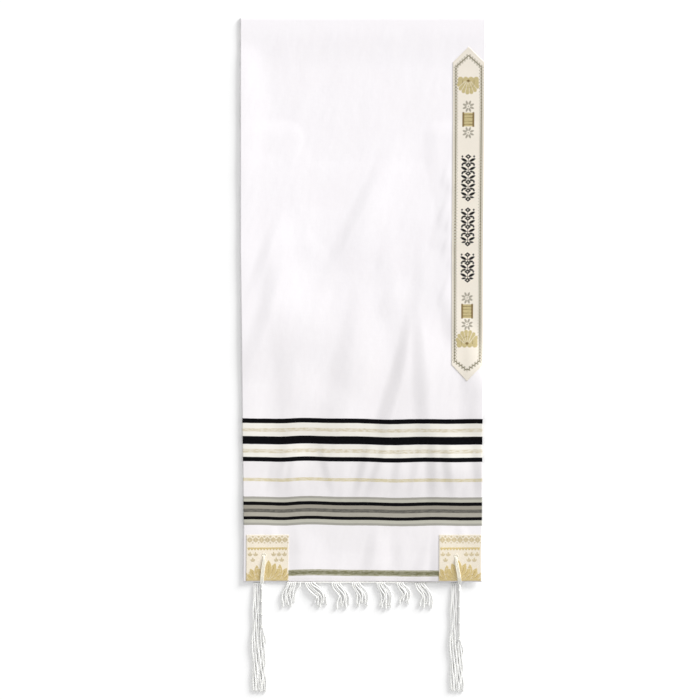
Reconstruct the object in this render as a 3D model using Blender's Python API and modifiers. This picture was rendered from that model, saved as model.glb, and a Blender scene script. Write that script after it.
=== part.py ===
"""A prayer shawl (tallit), folded once across its width and laid flat, face up.

Frame: +X across the cloth to the right, +Y along it from the hem to the fold, +Z up, origin on the
surface it lies on, under the middle of its bounding box. All values are in metres.
"""

import math

import bmesh
import bpy
import numpy as np

# Driving dimensions of the cloth
CLOTH_WIDTH = 0.610
CLOTH_LENGTH = 1.829
SHOWN_LENGTH = 1.407
TZITZIT_REACH = 0.2755
WALL = 0.0012
SEAM_GAP = 0.0003
LAYER_GAP = 0.0004
FOLD_RADIUS = 0.0024
FOLD_SETTLE = 0.055

# Driving dimensions of what is sewn on
PATCH_WALL = 0.0010
PATCH_LENGTH = 0.117
PATCH_WIDTH = 0.108
PATCH_EDGE = 0.007
PATCH_HEM = 0.002
ATARAH_WALL = 0.0010
ATARAH_WIDTH = 0.079
ATARAH_SHOULDERS = (0.541, 1.295)
ATARAH_TIPS = (0.500, 1.334)
FRINGE_STRIP = 0.0035
FRINGE_STRAND = 0.0014

# Places that follow from them
HALF_WIDTH = CLOTH_WIDTH / 2
HALF_LENGTH = (SHOWN_LENGTH + TZITZIT_REACH) / 2
FOLD_Y = HALF_LENGTH
HEM_Y = FOLD_Y - SHOWN_LENGTH
FOLD_CENTRE_Y = FOLD_Y - FOLD_RADIUS - WALL / 2
FOLD_ARC = math.pi * FOLD_RADIUS
UNDER_LENGTH = CLOTH_LENGTH - (FOLD_CENTRE_Y - HEM_Y) - FOLD_ARC
FAR_END_Y = FOLD_CENTRE_Y - UNDER_LENGTH
PATCH_LIFT = SEAM_GAP + PATCH_WALL
UPPER_LENGTH = FOLD_CENTRE_Y - HEM_Y

# Spacing of the points of the cloth
COLUMN_STEP = 0.0140
CORNER_COLUMN_STEP = 0.0120
ROW_STEP = 0.031
FOLD_STEPS = 6
UNDER_ROW_STEP = 0.10

# The cloth's side edges, drawn in towards the hem by its ripples
EDGE_COLUMNS = ("y", "left", "right")
EDGES = (
    (-0.566, -0.298, 0.296),
    (-0.437, -0.297, 0.297),
    (-0.200, -0.300, 0.298),
    (0.010, -0.302, 0.301),
    (0.260, -0.305, 0.302),
    (0.600, -0.305, 0.305),
    (0.842, -0.305, 0.305),
)
UNDER_EDGE_Y = 0.600

# The largest folds: each a soft ridge along a line, with the width of its left and right slopes
FOLD_COLUMNS = ("x0", "y0", "x1", "y1", "height", "left", "right")
FOLDS = (
    (0.120, 0.090, 0.078, -0.150, 0.0080, 0.018, 0.050),
    (0.146, 0.050, 0.176, -0.150, 0.0055, 0.020, 0.034),
    (0.010, 0.160, -0.074, -0.150, 0.0065, 0.024, 0.050),
    (-0.205, 0.380, -0.280, 0.150, 0.0050, 0.024, 0.045),
    (-0.225, 0.130, -0.262, -0.040, 0.0055, 0.022, 0.040),
    (-0.022, 0.430, -0.036, 0.200, 0.0050, 0.030, 0.050),
    (0.066, 0.320, 0.040, 0.210, 0.0040, 0.022, 0.034),
    (0.092, 0.200, 0.042, 0.090, 0.0045, 0.020, 0.040),
    (-0.192, 0.020, -0.196, -0.150, 0.0055, 0.030, 0.040),
    (-0.120, 0.090, -0.142, -0.150, 0.0040, 0.034, 0.040),
    (0.238, -0.060, 0.242, -0.160, 0.0040, 0.022, 0.026),
    (-0.205, -0.255, -0.200, -0.385, 0.0035, 0.024, 0.030),
    (0.010, -0.255, 0.014, -0.390, 0.0035, 0.022, 0.026),
    (0.088, -0.250, 0.084, -0.380, 0.0035, 0.022, 0.028),
    (0.176, -0.250, 0.172, -0.400, 0.0035, 0.022, 0.028),
    (-0.150, -0.425, -0.146, -0.550, 0.0035, 0.026, 0.030),
    (0.026, -0.420, 0.030, -0.548, 0.0035, 0.026, 0.030),
    (0.150, -0.420, 0.146, -0.540, 0.0040, 0.024, 0.026),
)

# The corner tassels. The far pair lies flat under the cloth, with no cord over its patch
TASSEL_COLUMNS = (
    "name", "eyelet", "top", "toe", "left", "right", "end", "cord", "knot", "strand", "loose",
)
TASSELS = (
    ("tzitzit_hem_left", (-0.2464, -0.4996), (-0.2515, HEM_Y - 0.0050), -0.677, -0.2762, -0.2412,
     -0.8414, 0.0034, 0.0044, 0.0018, 4),
    ("tzitzit_hem_right", (0.2327, -0.5021), (0.2412, HEM_Y - 0.0050), -0.708, 0.2172, 0.2510,
     -0.8405, 0.0034, 0.0044, 0.0018, 4),
    ("tzitzit_far_left", None, (-0.2600, FAR_END_Y - 0.0030), 0.310, -0.2720, -0.2480,
     0.150, 0.0022, 0.0027, 0.0011, 0),
    ("tzitzit_far_right", None, (0.2380, FAR_END_Y - 0.0030), 0.310, 0.2260, 0.2500,
     0.150, 0.0022, 0.0027, 0.0011, 0),
)
TASSEL_STRANDS = 8
TASSEL_CLEAR = 0.0004
KNOTS = 4
COVER_SPREAD = 0.013
COVER_SLOPE = 0.024
COVER_HEIGHT = 0.0063
COVER_BEYOND = 0.024
FRINGE_COVER = 0.095

# Slopes by which the upper layer comes down from what lies under it
PATCH_SLOPE = 0.030
UNDER_SLOPE = 0.035
UNDER_SLOPE_END = 0.005
FRINGE_SLOPE = 0.060

# The clusters of hem fringe, from the cloth's middle: where each grows and where its tips lie
CLUSTER_COLUMNS = ("root", "tip", "reach", "sway", "strands")
CLUSTERS = (
    (-0.178, -0.186, 0.062, -0.004, 3),
    (-0.156, -0.172, 0.056, 0.000, 1),
    (-0.134, -0.106, 0.062, 0.008, 3),
    (-0.068, -0.050, 0.066, 0.007, 3),
    (-0.018, -0.002, 0.060, 0.005, 3),
    (0.044, 0.056, 0.068, 0.007, 3),
    (0.092, 0.104, 0.055, 0.008, 2),
    (0.140, 0.158, 0.065, 0.007, 3),
)
STRAND_PITCH = 0.0036


def smooth(value):
    """0 below 0, 1 above 1, and a soft slope between them."""
    value = np.clip(value, 0.0, 1.0)
    return value * value * (3.0 - 2.0 * value)


def rows_of(columns, table):
    return [dict(zip(columns, row)) for row in table]


def line_distance(x, y, start, end):
    """How far along a line from start to end a point lies, from 0 to 1, and how far to its left."""
    dx, dy = end[0] - start[0], end[1] - start[1]
    length = math.hypot(dx, dy)
    along = ((x - start[0]) * dx + (y - start[1]) * dy) / length**2
    side = ((x - start[0]) * dy - (y - start[1]) * dx) / length
    return along, side


def creases(x, y):
    """Height of the largest folds at a place on the upper layer."""
    height = np.zeros_like(x + y)
    for fold in rows_of(FOLD_COLUMNS, FOLDS):
        along, side = line_distance(x, y, (fold["x0"], fold["y0"]), (fold["x1"], fold["y1"]))
        width = np.where(side > 0, fold["left"], fold["right"])
        across = smooth(1.0 - np.abs(side) / width)
        fade = smooth(along / 0.35) * smooth((1.0 - along) / 0.25)
        height = height + fold["height"] * across * fade
    return height


def tassel_cover(x, y):
    """Height that the two tassels under the cloth lift it by."""
    height = np.zeros_like(x + y)
    for plan in rows_of(TASSEL_COLUMNS, TASSELS):
        if plan["eyelet"]:
            continue
        out_x = np.abs(x - plan["top"][0]) - (plan["right"] - plan["left"]) / 2 - COVER_SPREAD
        out_y = np.maximum(y - plan["top"][1], plan["end"] - y) - COVER_BEYOND
        out = np.hypot(np.maximum(out_x, 0.0), np.maximum(out_y, 0.0))
        height = np.maximum(height, COVER_HEIGHT * smooth(1.0 - out / COVER_SLOPE))
    return height


def far_patch_lift(x, y):
    """Height of the folded-under end over its two corner patches."""
    outside_x = HALF_WIDTH - PATCH_EDGE - PATCH_WIDTH - np.abs(x)
    outside_y = y - (FAR_END_Y + PATCH_LENGTH)
    out = np.maximum(outside_x, outside_y)
    return PATCH_LIFT * smooth(1.0 - out / PATCH_SLOPE)


def upper_lift(x, y):
    """Height of the upper layer's middle surface over the wall's own half thickness."""
    onto_under = smooth((y - FAR_END_Y + UNDER_SLOPE_END) / UNDER_SLOPE + 1.0)
    over_under = (WALL + LAYER_GAP + far_patch_lift(x, np.maximum(y, FAR_END_Y))) * onto_under
    fringe_height = 2 * (FRINGE_STRAND + TASSEL_CLEAR + SEAM_GAP)
    onto_fringe = smooth((y - FAR_END_Y + FRINGE_COVER) / FRINGE_SLOPE + 1.0)
    off_fringe = smooth((FAR_END_Y + COVER_BEYOND - y) / FRINGE_SLOPE + 1.0)
    base = np.maximum(over_under, fringe_height * onto_fringe * off_fringe)
    base = np.maximum(base, tassel_cover(x, y))
    roll = smooth((y - FOLD_CENTRE_Y + FOLD_SETTLE) / FOLD_SETTLE)
    return base + (2 * FOLD_RADIUS - base) * roll


def steps_between(stops, step):
    """Values that hold every stop, with equal steps no longer than the given one between them."""
    values = [stops[0]]
    for low, high in zip(stops, stops[1:]):
        count = max(1, math.ceil((high - low) / step - 1e-9))
        values += [low + (high - low) * k / count for k in range(1, count + 1)]
    return values


def cloth_columns():
    """Distances across the cut cloth, from its left edge, that the points of every piece share."""
    patch_left = (PATCH_EDGE, PATCH_EDGE + PATCH_WIDTH)
    patch_right = (CLOTH_WIDTH - PATCH_EDGE / 4 - PATCH_WIDTH, CLOTH_WIDTH - PATCH_EDGE / 4)
    atarah_left = patch_right[1] - ATARAH_WIDTH
    left = steps_between((0.0, *patch_left), CORNER_COLUMN_STEP)
    middle = steps_between((patch_left[1], patch_right[0]), COLUMN_STEP)
    right = steps_between((patch_right[0], atarah_left, patch_right[1], CLOTH_WIDTH), CORNER_COLUMN_STEP)
    return left + middle[1:] + right[1:], patch_left, patch_right, atarah_left


COLUMNS, PATCH_LEFT, PATCH_RIGHT, ATARAH_LEFT = cloth_columns()


def cloth_rows():
    """Distances along the cut cloth from the hem, over the upper layer, the fold and the end under it."""
    stops = [0.0, PATCH_HEM, PATCH_LENGTH, ATARAH_TIPS[0], ATARAH_SHOULDERS[0]]
    stops += [FAR_END_Y - FRINGE_COVER - HEM_Y, FAR_END_Y + COVER_BEYOND - HEM_Y, ATARAH_SHOULDERS[1]]
    stops += [ATARAH_TIPS[1], UPPER_LENGTH - 0.020, UPPER_LENGTH]
    upper = steps_between(stops, ROW_STEP)
    roll = [UPPER_LENGTH + FOLD_ARC * k / FOLD_STEPS for k in range(1, FOLD_STEPS + 1)]
    far_patch = (CLOTH_LENGTH - PATCH_LENGTH, CLOTH_LENGTH - PATCH_HEM, CLOTH_LENGTH)
    under = steps_between((roll[-1], far_patch[0] - PATCH_SLOPE, *far_patch), UNDER_ROW_STEP)
    return upper + roll + under[1:]


def side_edges(y):
    """Where the cloth's left and right edges lie."""
    rows = rows_of(EDGE_COLUMNS, EDGES)
    stations = [row["y"] for row in rows]
    return [float(np.interp(y, stations, [row[side] for row in rows])) for side in ("left", "right")]


def cloth_point(across, along):
    """The place of a point of the cut cloth's middle surface, from its distances across and along."""
    past = along - UPPER_LENGTH
    if past <= 0:
        y = HEM_Y + along
    elif past <= FOLD_ARC:
        y = FOLD_CENTRE_Y + FOLD_RADIUS * math.sin(past / FOLD_RADIUS)
    else:
        y = FOLD_CENTRE_Y - (past - FOLD_ARC)
    left, right = side_edges(max(y, UNDER_EDGE_Y) if past > FOLD_ARC else y)
    x = left + (right - left) * across / CLOTH_WIDTH
    if past <= 0:
        z = WALL / 2 + float(upper_lift(x, y) + creases(x, y))
    elif past <= FOLD_ARC:
        z = WALL / 2 + FOLD_RADIUS + FOLD_RADIUS * math.cos(past / FOLD_RADIUS)
    else:
        z = WALL / 2 + float(far_patch_lift(x, y))
    return x, y, z


def surface_mesh(name, across, along):
    """An open sheet of the cloth's middle surface through the given distances across and along."""
    mesh = bmesh.new()
    grid = [[mesh.verts.new(cloth_point(u, s)) for u in across] for s in along]
    for low, high in zip(grid, grid[1:]):
        for k in range(len(across) - 1):
            mesh.faces.new((low[k], low[k + 1], high[k + 1], high[k]))
    bmesh.ops.triangulate(mesh, faces=mesh.faces[:], quad_method="FIXED")
    mesh.normal_update()
    data = bpy.data.meshes.new(name)
    mesh.to_mesh(data)
    mesh.free()
    return data


def material(name, colour, roughness):
    made = bpy.data.materials.new(name)
    made.use_nodes = True
    shader = made.node_tree.nodes["Principled BSDF"]
    shader.inputs["Base Color"].default_value = (*colour, 1.0)
    shader.inputs["Roughness"].default_value = roughness
    shader.inputs["Metallic"].default_value = 0.0
    return made


def new_object(name, data, collection, finish):
    made = bpy.data.objects.new(name, data)
    made.data.materials.append(finish)
    collection.objects.link(made)
    return made


def thicken(piece, thickness, offset):
    wall = piece.modifiers.new("wall", "SOLIDIFY")
    wall.thickness = thickness
    wall.offset = offset
    wall.use_even_offset = True


def body(collection, finish):
    data = surface_mesh("body_cloth", COLUMNS, cloth_rows())
    piece = new_object("body_cloth", data, collection, finish)
    thicken(piece, WALL, 0.0)
    return piece


def sheet_normals(across, along):
    """The normals of the whole cloth's points, read at the given distances across and along."""
    rows = cloth_rows()
    points = np.array([[cloth_point(u, s) for u in COLUMNS] for s in rows])
    normals = np.cross(np.gradient(points, axis=1), np.gradient(points, axis=0))
    normals /= np.linalg.norm(normals, axis=2, keepdims=True)
    chosen = np.ix_([rows.index(s) for s in along], [COLUMNS.index(u) for u in across])
    return normals[chosen].reshape(-1, 3)


def between(values, low, high):
    return [value for value in values if low - 1e-6 <= value <= high + 1e-6]


def sewn_on(name, across_range, along_range, thickness, collection, finish):
    """A flat piece on the cloth's face, made from the cloth's own points moved out."""
    across = between(COLUMNS, *across_range)
    along = between(cloth_rows(), *along_range)
    data = surface_mesh(name, across, along)
    for vertex, normal in zip(data.vertices, sheet_normals(across, along)):
        vertex.co = np.array(vertex.co) + normal * (WALL / 2 + SEAM_GAP)
    piece = new_object(name, data, collection, finish)
    thicken(piece, thickness, 1.0)
    return piece


def cut_corner(data, shoulder, tip):
    """Cuts a flat piece along the upright plane through its shoulder and its tip, keeping the inner side."""
    mesh = bmesh.new()
    mesh.from_mesh(data)
    outward = np.array([tip[1] - shoulder[1], shoulder[0] - tip[0], 0.0])
    if outward[1] * (tip[1] - shoulder[1]) < 0:
        outward = -outward
    bmesh.ops.bisect_plane(
        mesh, geom=mesh.verts[:] + mesh.edges[:] + mesh.faces[:], plane_co=(*shoulder, 0.0),
        plane_no=outward, clear_outer=True, dist=1e-6,
    )
    bmesh.ops.triangulate(mesh, faces=mesh.faces[:])
    mesh.to_mesh(data)
    mesh.free()


def atarah(collection, finish):
    """The neckband, whose two ends are cut to a point."""
    piece = sewn_on(
        "atarah", (ATARAH_LEFT, ATARAH_LEFT + ATARAH_WIDTH), ATARAH_TIPS, ATARAH_WALL, collection, finish
    )
    for shoulder, tip in zip(ATARAH_SHOULDERS, ATARAH_TIPS):
        middle = cloth_point(ATARAH_LEFT + ATARAH_WIDTH / 2, tip)[:2]
        for side in (ATARAH_LEFT, ATARAH_LEFT + ATARAH_WIDTH):
            cut_corner(piece.data, cloth_point(side, shoulder)[:2], middle)
    return piece


def tube_mesh(name, paths, sides):
    """A closed mesh of tubes, one for each path of (x, y, z, radius)."""
    curve = bpy.data.curves.new(name, "CURVE")
    curve.dimensions = "3D"
    curve.bevel_depth = 1.0
    curve.bevel_resolution = sides // 2 - 2
    curve.use_fill_caps = True
    for path in paths:
        spline = curve.splines.new("POLY")
        spline.points.add(len(path) - 1)
        for point, (x, y, z, radius) in zip(spline.points, path):
            point.co = (x, y, z, 1.0)
            point.radius = radius
    guide = bpy.data.objects.new(name, curve)
    bpy.context.scene.collection.objects.link(guide)
    evaluated = guide.evaluated_get(bpy.context.evaluated_depsgraph_get())
    data = bpy.data.meshes.new_from_object(evaluated)
    bpy.data.objects.remove(guide)
    bpy.data.curves.remove(curve)
    mesh = bmesh.new()
    mesh.from_mesh(data)
    bmesh.ops.remove_doubles(mesh, verts=mesh.verts[:], dist=1e-6)
    bmesh.ops.recalc_face_normals(mesh, faces=mesh.faces[:])
    mesh.to_mesh(data)
    mesh.free()
    return data


def join(piece, name, data, cutters, finish):
    """Unites loose shapes with a piece, whose Boolean modifier keeps them as helpers."""
    helper = new_object(name, data, cutters, finish)
    helper.hide_render = True
    helper.display_type = "WIRE"
    union = piece.modifiers.new(name, "BOOLEAN")
    union.operation = "UNION"
    union.object = helper


def knotted_cord(plan):
    """Path of a tassel's wound head, wider at each knot."""
    x, y = plan["top"]
    height = plan["knot"] + TASSEL_CLEAR
    length = y - plan["toe"]
    path = [(x, y, height, plan["cord"] * 0.8)]
    for knot in range(KNOTS):
        centre = y - length * (knot + 0.35) / (KNOTS - 0.65)
        for shift, radius in ((0.006, plan["cord"]), (0.002, plan["knot"]), (-0.003, plan["knot"])):
            path.append((x, centre + shift, height, radius))
        if knot < KNOTS - 1:
            path.append((x, centre - 0.007, height, plan["cord"]))
    return path


def tassel_strands(plan):
    """Paths of a tassel's strands. The loose ones grow beside the head, and the rest from its last knot."""
    head_x, head_y = plan["top"]
    rest_z = plan["strand"] + TASSEL_CLEAR
    head_z = plan["knot"] + TASSEL_CLEAR
    pitch = (plan["right"] - plan["left"] - 2 * plan["strand"]) / (TASSEL_STRANDS - 1)
    wound = TASSEL_STRANDS - plan["loose"]
    for strand in range(TASSEL_STRANDS):
        end_x = plan["left"] + plan["strand"] + pitch * strand
        end_y = plan["end"] + 0.0045 * (0.5 + 0.5 * math.sin(2.4 * strand + 1.0)) + 0.0002
        if strand < plan["loose"]:
            start = (head_x - plan["cord"] - (plan["loose"] - strand - 0.25) * pitch, head_y - 0.001, rest_z)
            root_radius = plan["strand"] * 0.8
        else:
            fan = strand - plan["loose"] - (wound - 1) / 2
            spread = 2 * (plan["knot"] - 0.0013) / wound
            start = (head_x + fan * spread, plan["toe"] + 0.001, head_z)
            root_radius = spread * 0.40
        path = []
        for k in range(9):
            t = k / 8
            settle = smooth(t * (2.2 if strand < plan["loose"] else 4.0))
            sway = 0.0016 * math.sin(2 * math.pi * t * 1.3 + 0.6) * t
            x = start[0] + (end_x - start[0]) * settle + sway
            y = start[1] + (end_y - start[1]) * t
            z = start[2] + (rest_z - start[2]) * settle
            radius = root_radius + (plan["strand"] - root_radius) * smooth(t * 4.0)
            path.append((x, y, z, radius * (0.55 if k == 8 else 1.0)))
        yield path


def tassel(plan, collection, cutters, finish):
    head_x, head_y = plan["top"]
    piece = new_object(plan["name"], tube_mesh(plan["name"], [knotted_cord(plan)], 8), collection, finish)
    if plan["eyelet"]:
        over = WALL + 2 * SEAM_GAP + PATCH_WALL + plan["strand"]
        eye_x, eye_y = plan["eyelet"]
        heights = (over, over, plan["knot"] + TASSEL_CLEAR + 0.0006, plan["knot"] + TASSEL_CLEAR)
        bends = (0.0, 0.45, 0.93, 1.03)
        loop = [
            (eye_x + (head_x - eye_x) * smooth(bend), eye_y + (head_y - eye_y) * bend, z, plan["strand"])
            for bend, z in zip(bends, heights)
        ]
        join(piece, plan["name"] + "_loop", tube_mesh("loop", [loop], 6), cutters, finish)
        rest_z = plan["strand"] + TASSEL_CLEAR
        bar_end = head_x - plan["cord"] - plan["loose"] * 0.0046
        bar = [(bar_end, head_y, rest_z, 0.0019), (head_x, head_y, rest_z + 0.0010, 0.0019)]
        join(piece, plan["name"] + "_root", tube_mesh("root", [bar], 6), cutters, finish)
    strands = tube_mesh("strands", list(tassel_strands(plan)), 4)
    join(piece, plan["name"] + "_strands", strands, cutters, finish)
    return piece


def cluster_line(cluster, t):
    """The middle line of one cluster of fringe, from its root at 0 to its tip at 1."""
    lean = (cluster["tip"] - cluster["root"]) * smooth(t * 1.3)
    bow = cluster["sway"] * math.sin(math.pi * min(1.0, t * 1.15)) ** 2
    return np.array([cluster["root"] + lean + bow, -FRINGE_STRIP / 2 - cluster["reach"] * t])


def fringe_strands(hem_y, mirror):
    """Paths of the short strands, side by side along their cluster's line and apart at their tips."""
    for number, cluster in enumerate(rows_of(CLUSTER_COLUMNS, CLUSTERS)):
        for strand in range(cluster["strands"]):
            side = strand - (cluster["strands"] - 1) / 2
            reach = 1.0 - 0.07 * ((strand * 2 + number) % 3)
            path = []
            for k in range(8):
                t = reach * k / 7
                ahead = cluster_line(cluster, t + 0.01) - cluster_line(cluster, t)
                beside = np.array([-ahead[1], ahead[0]]) / np.hypot(*ahead)
                x, y = cluster_line(cluster, t) + beside * side * (STRAND_PITCH + 0.0012 * t)
                radius = FRINGE_STRAND * (0.6 if k == 7 else 1.0)
                path.append((mirror * x, hem_y + y, FRINGE_STRAND + TASSEL_CLEAR, radius))
            yield path


def fringe(name, hem_y, mirror, collection, cutters, finish):
    """The hem's fringe: its strands fused into a narrow strip just off the cloth's edge."""
    mesh = bmesh.new()
    bmesh.ops.create_cube(mesh, size=1.0)
    middle = (PATCH_LEFT[1] + PATCH_RIGHT[0]) / 2 - HALF_WIDTH
    length = (PATCH_RIGHT[0] - PATCH_LEFT[1]) * 0.97 + 0.004
    strip_height = 2 * FRINGE_STRAND + TASSEL_CLEAR
    bmesh.ops.scale(mesh, vec=(length, FRINGE_STRIP - SEAM_GAP, strip_height), verts=mesh.verts[:])
    centre = (mirror * middle, hem_y - (FRINGE_STRIP + SEAM_GAP) / 2, FRINGE_STRAND + TASSEL_CLEAR)
    bmesh.ops.translate(mesh, vec=centre, verts=mesh.verts[:])
    data = bpy.data.meshes.new(name)
    mesh.to_mesh(data)
    mesh.free()
    piece = new_object(name, data, collection, finish)
    strands = tube_mesh("strands", list(fringe_strands(hem_y, mirror)), 4)
    join(piece, name + "_strands", strands, cutters, finish)
    return piece


def clear_scene():
    for item in list(bpy.data.objects):
        bpy.data.objects.remove(item)


def new_collection(name):
    made = bpy.data.collections.new(name)
    bpy.context.scene.collection.children.link(made)
    return made


def main():
    clear_scene()
    shawl = new_collection("prayer_shawl")
    cutters = new_collection("joined_shapes")
    wool = material("white_wool", (0.90, 0.89, 0.90), 0.85)
    band = material("cream_band", (0.82, 0.78, 0.68), 0.60)
    satin = material("cream_satin", (0.80, 0.72, 0.52), 0.40)
    thread = material("white_thread", (0.84, 0.84, 0.81), 0.80)

    body(shawl, wool)
    atarah(shawl, band)
    hem_rows = (PATCH_HEM, PATCH_LENGTH)
    far_rows = (CLOTH_LENGTH - PATCH_LENGTH, CLOTH_LENGTH - PATCH_HEM)
    for end, along in (("hem", hem_rows), ("far", far_rows)):
        for side, across in (("left", PATCH_LEFT), ("right", PATCH_RIGHT)):
            sewn_on(f"corner_patch_{end}_{side}", across, along, PATCH_WALL, shawl, satin)
    for plan in rows_of(TASSEL_COLUMNS, TASSELS):
        tassel(plan, shawl, cutters, thread)
    fringe("fringe_hem", HEM_Y, 1, shawl, cutters, thread)
    fringe("fringe_far", FAR_END_Y, -1, shawl, cutters, thread)


main()
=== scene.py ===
"""The looks of a prayer shawl (tallit), folded once across its width and laid flat, face up.

Twelve pieces each stand for one solid and keep its outline and place, with finer creases, yarn and
weave. Four more are sewing: stitches and eyelets. Frame: +X across the cloth, +Y from the hem to the
fold, +Z up, in metres.
"""

import math

import bpy
import numpy as np
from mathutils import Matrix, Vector, noise


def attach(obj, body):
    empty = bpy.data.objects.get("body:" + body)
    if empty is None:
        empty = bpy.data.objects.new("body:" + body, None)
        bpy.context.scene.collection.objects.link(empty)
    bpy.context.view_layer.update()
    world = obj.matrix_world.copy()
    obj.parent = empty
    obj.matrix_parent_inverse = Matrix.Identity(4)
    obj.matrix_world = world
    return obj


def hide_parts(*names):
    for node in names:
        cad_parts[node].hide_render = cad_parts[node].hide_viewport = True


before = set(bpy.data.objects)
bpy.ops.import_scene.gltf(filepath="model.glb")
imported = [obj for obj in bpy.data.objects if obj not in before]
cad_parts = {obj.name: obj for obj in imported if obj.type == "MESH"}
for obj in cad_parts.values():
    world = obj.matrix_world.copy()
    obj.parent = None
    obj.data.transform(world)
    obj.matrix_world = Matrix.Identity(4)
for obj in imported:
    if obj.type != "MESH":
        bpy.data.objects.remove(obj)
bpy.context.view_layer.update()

# Sizes. The sewn pieces are thinner than their solids, and the fold settles over a longer way
CLOTH_WIDTH = 0.610
CLOTH_LENGTH = 1.829
SHOWN_LENGTH = 1.407
TZITZIT_REACH = 0.2755
WALL = 0.0012
SEAM_GAP = 0.0003
FOLD_RADIUS = 0.0024
FOLD_SETTLE = 0.130
PATCH_WALL = 0.0006
PATCH_LENGTH = 0.117
PATCH_WIDTH = 0.108
PATCH_EDGE = 0.007
PATCH_HEM = 0.002
PATCH_LIFT = 0.0013
ATARAH_WALL = 0.0005
ATARAH_WIDTH = 0.079
ATARAH_SHOULDERS = (0.541, 1.295)
ATARAH_TIPS = (0.500, 1.334)
BORDER_INSET = 0.0078
BORDER_PITCH = 0.0076
BORDER_CORNERS = (0.5509, 1.2837)
BORDER_TIPS = (0.5270, 1.3120)
BORDER_SLANT = 0.48
FRINGE_STRIP = 0.0035
FRINGE_STRAND = 0.0014
FAR_FRINGE_STRAND = 0.0008
TASSEL_CLEAR = 0.0004

# Places that follow from them
HALF_WIDTH = CLOTH_WIDTH / 2
HALF_LENGTH = (SHOWN_LENGTH + TZITZIT_REACH) / 2
HEM_Y = HALF_LENGTH - SHOWN_LENGTH
FOLD_CENTRE_Y = HALF_LENGTH - FOLD_RADIUS - WALL / 2
FOLD_ARC = math.pi * FOLD_RADIUS
UPPER_LENGTH = FOLD_CENTRE_Y - HEM_Y
FAR_END_Y = FOLD_CENTRE_Y - (CLOTH_LENGTH - UPPER_LENGTH - FOLD_ARC)
PATCH_LEFT = (PATCH_EDGE, PATCH_EDGE + PATCH_WIDTH)
PATCH_RIGHT = (CLOTH_WIDTH - PATCH_EDGE / 4 - PATCH_WIDTH, CLOTH_WIDTH - PATCH_EDGE / 4)
ATARAH_LEFT = PATCH_RIGHT[1] - ATARAH_WIDTH

# How far the left edge and the hem stand off what they lie on, and over what width
EDGE_LIFT = 0.0062
EDGE_LIFT_WIDTH = 0.100
HEM_LIFT = 0.0032
HEM_LIFT_WIDTH = 0.080

# How far the lines of the crumple lean
CRUMPLE_LEAN = math.radians(24)

# The cloth's side edges, drawn in towards the hem by its ripples
EDGE_COLUMNS = ("y", "left", "right")
EDGES = (
    (-0.566, -0.298, 0.296),
    (-0.437, -0.297, 0.297),
    (-0.200, -0.300, 0.298),
    (0.010, -0.302, 0.301),
    (0.260, -0.305, 0.302),
    (0.600, -0.305, 0.305),
    (0.842, -0.305, 0.305),
)
UNDER_EDGE_Y = 0.600

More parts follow.
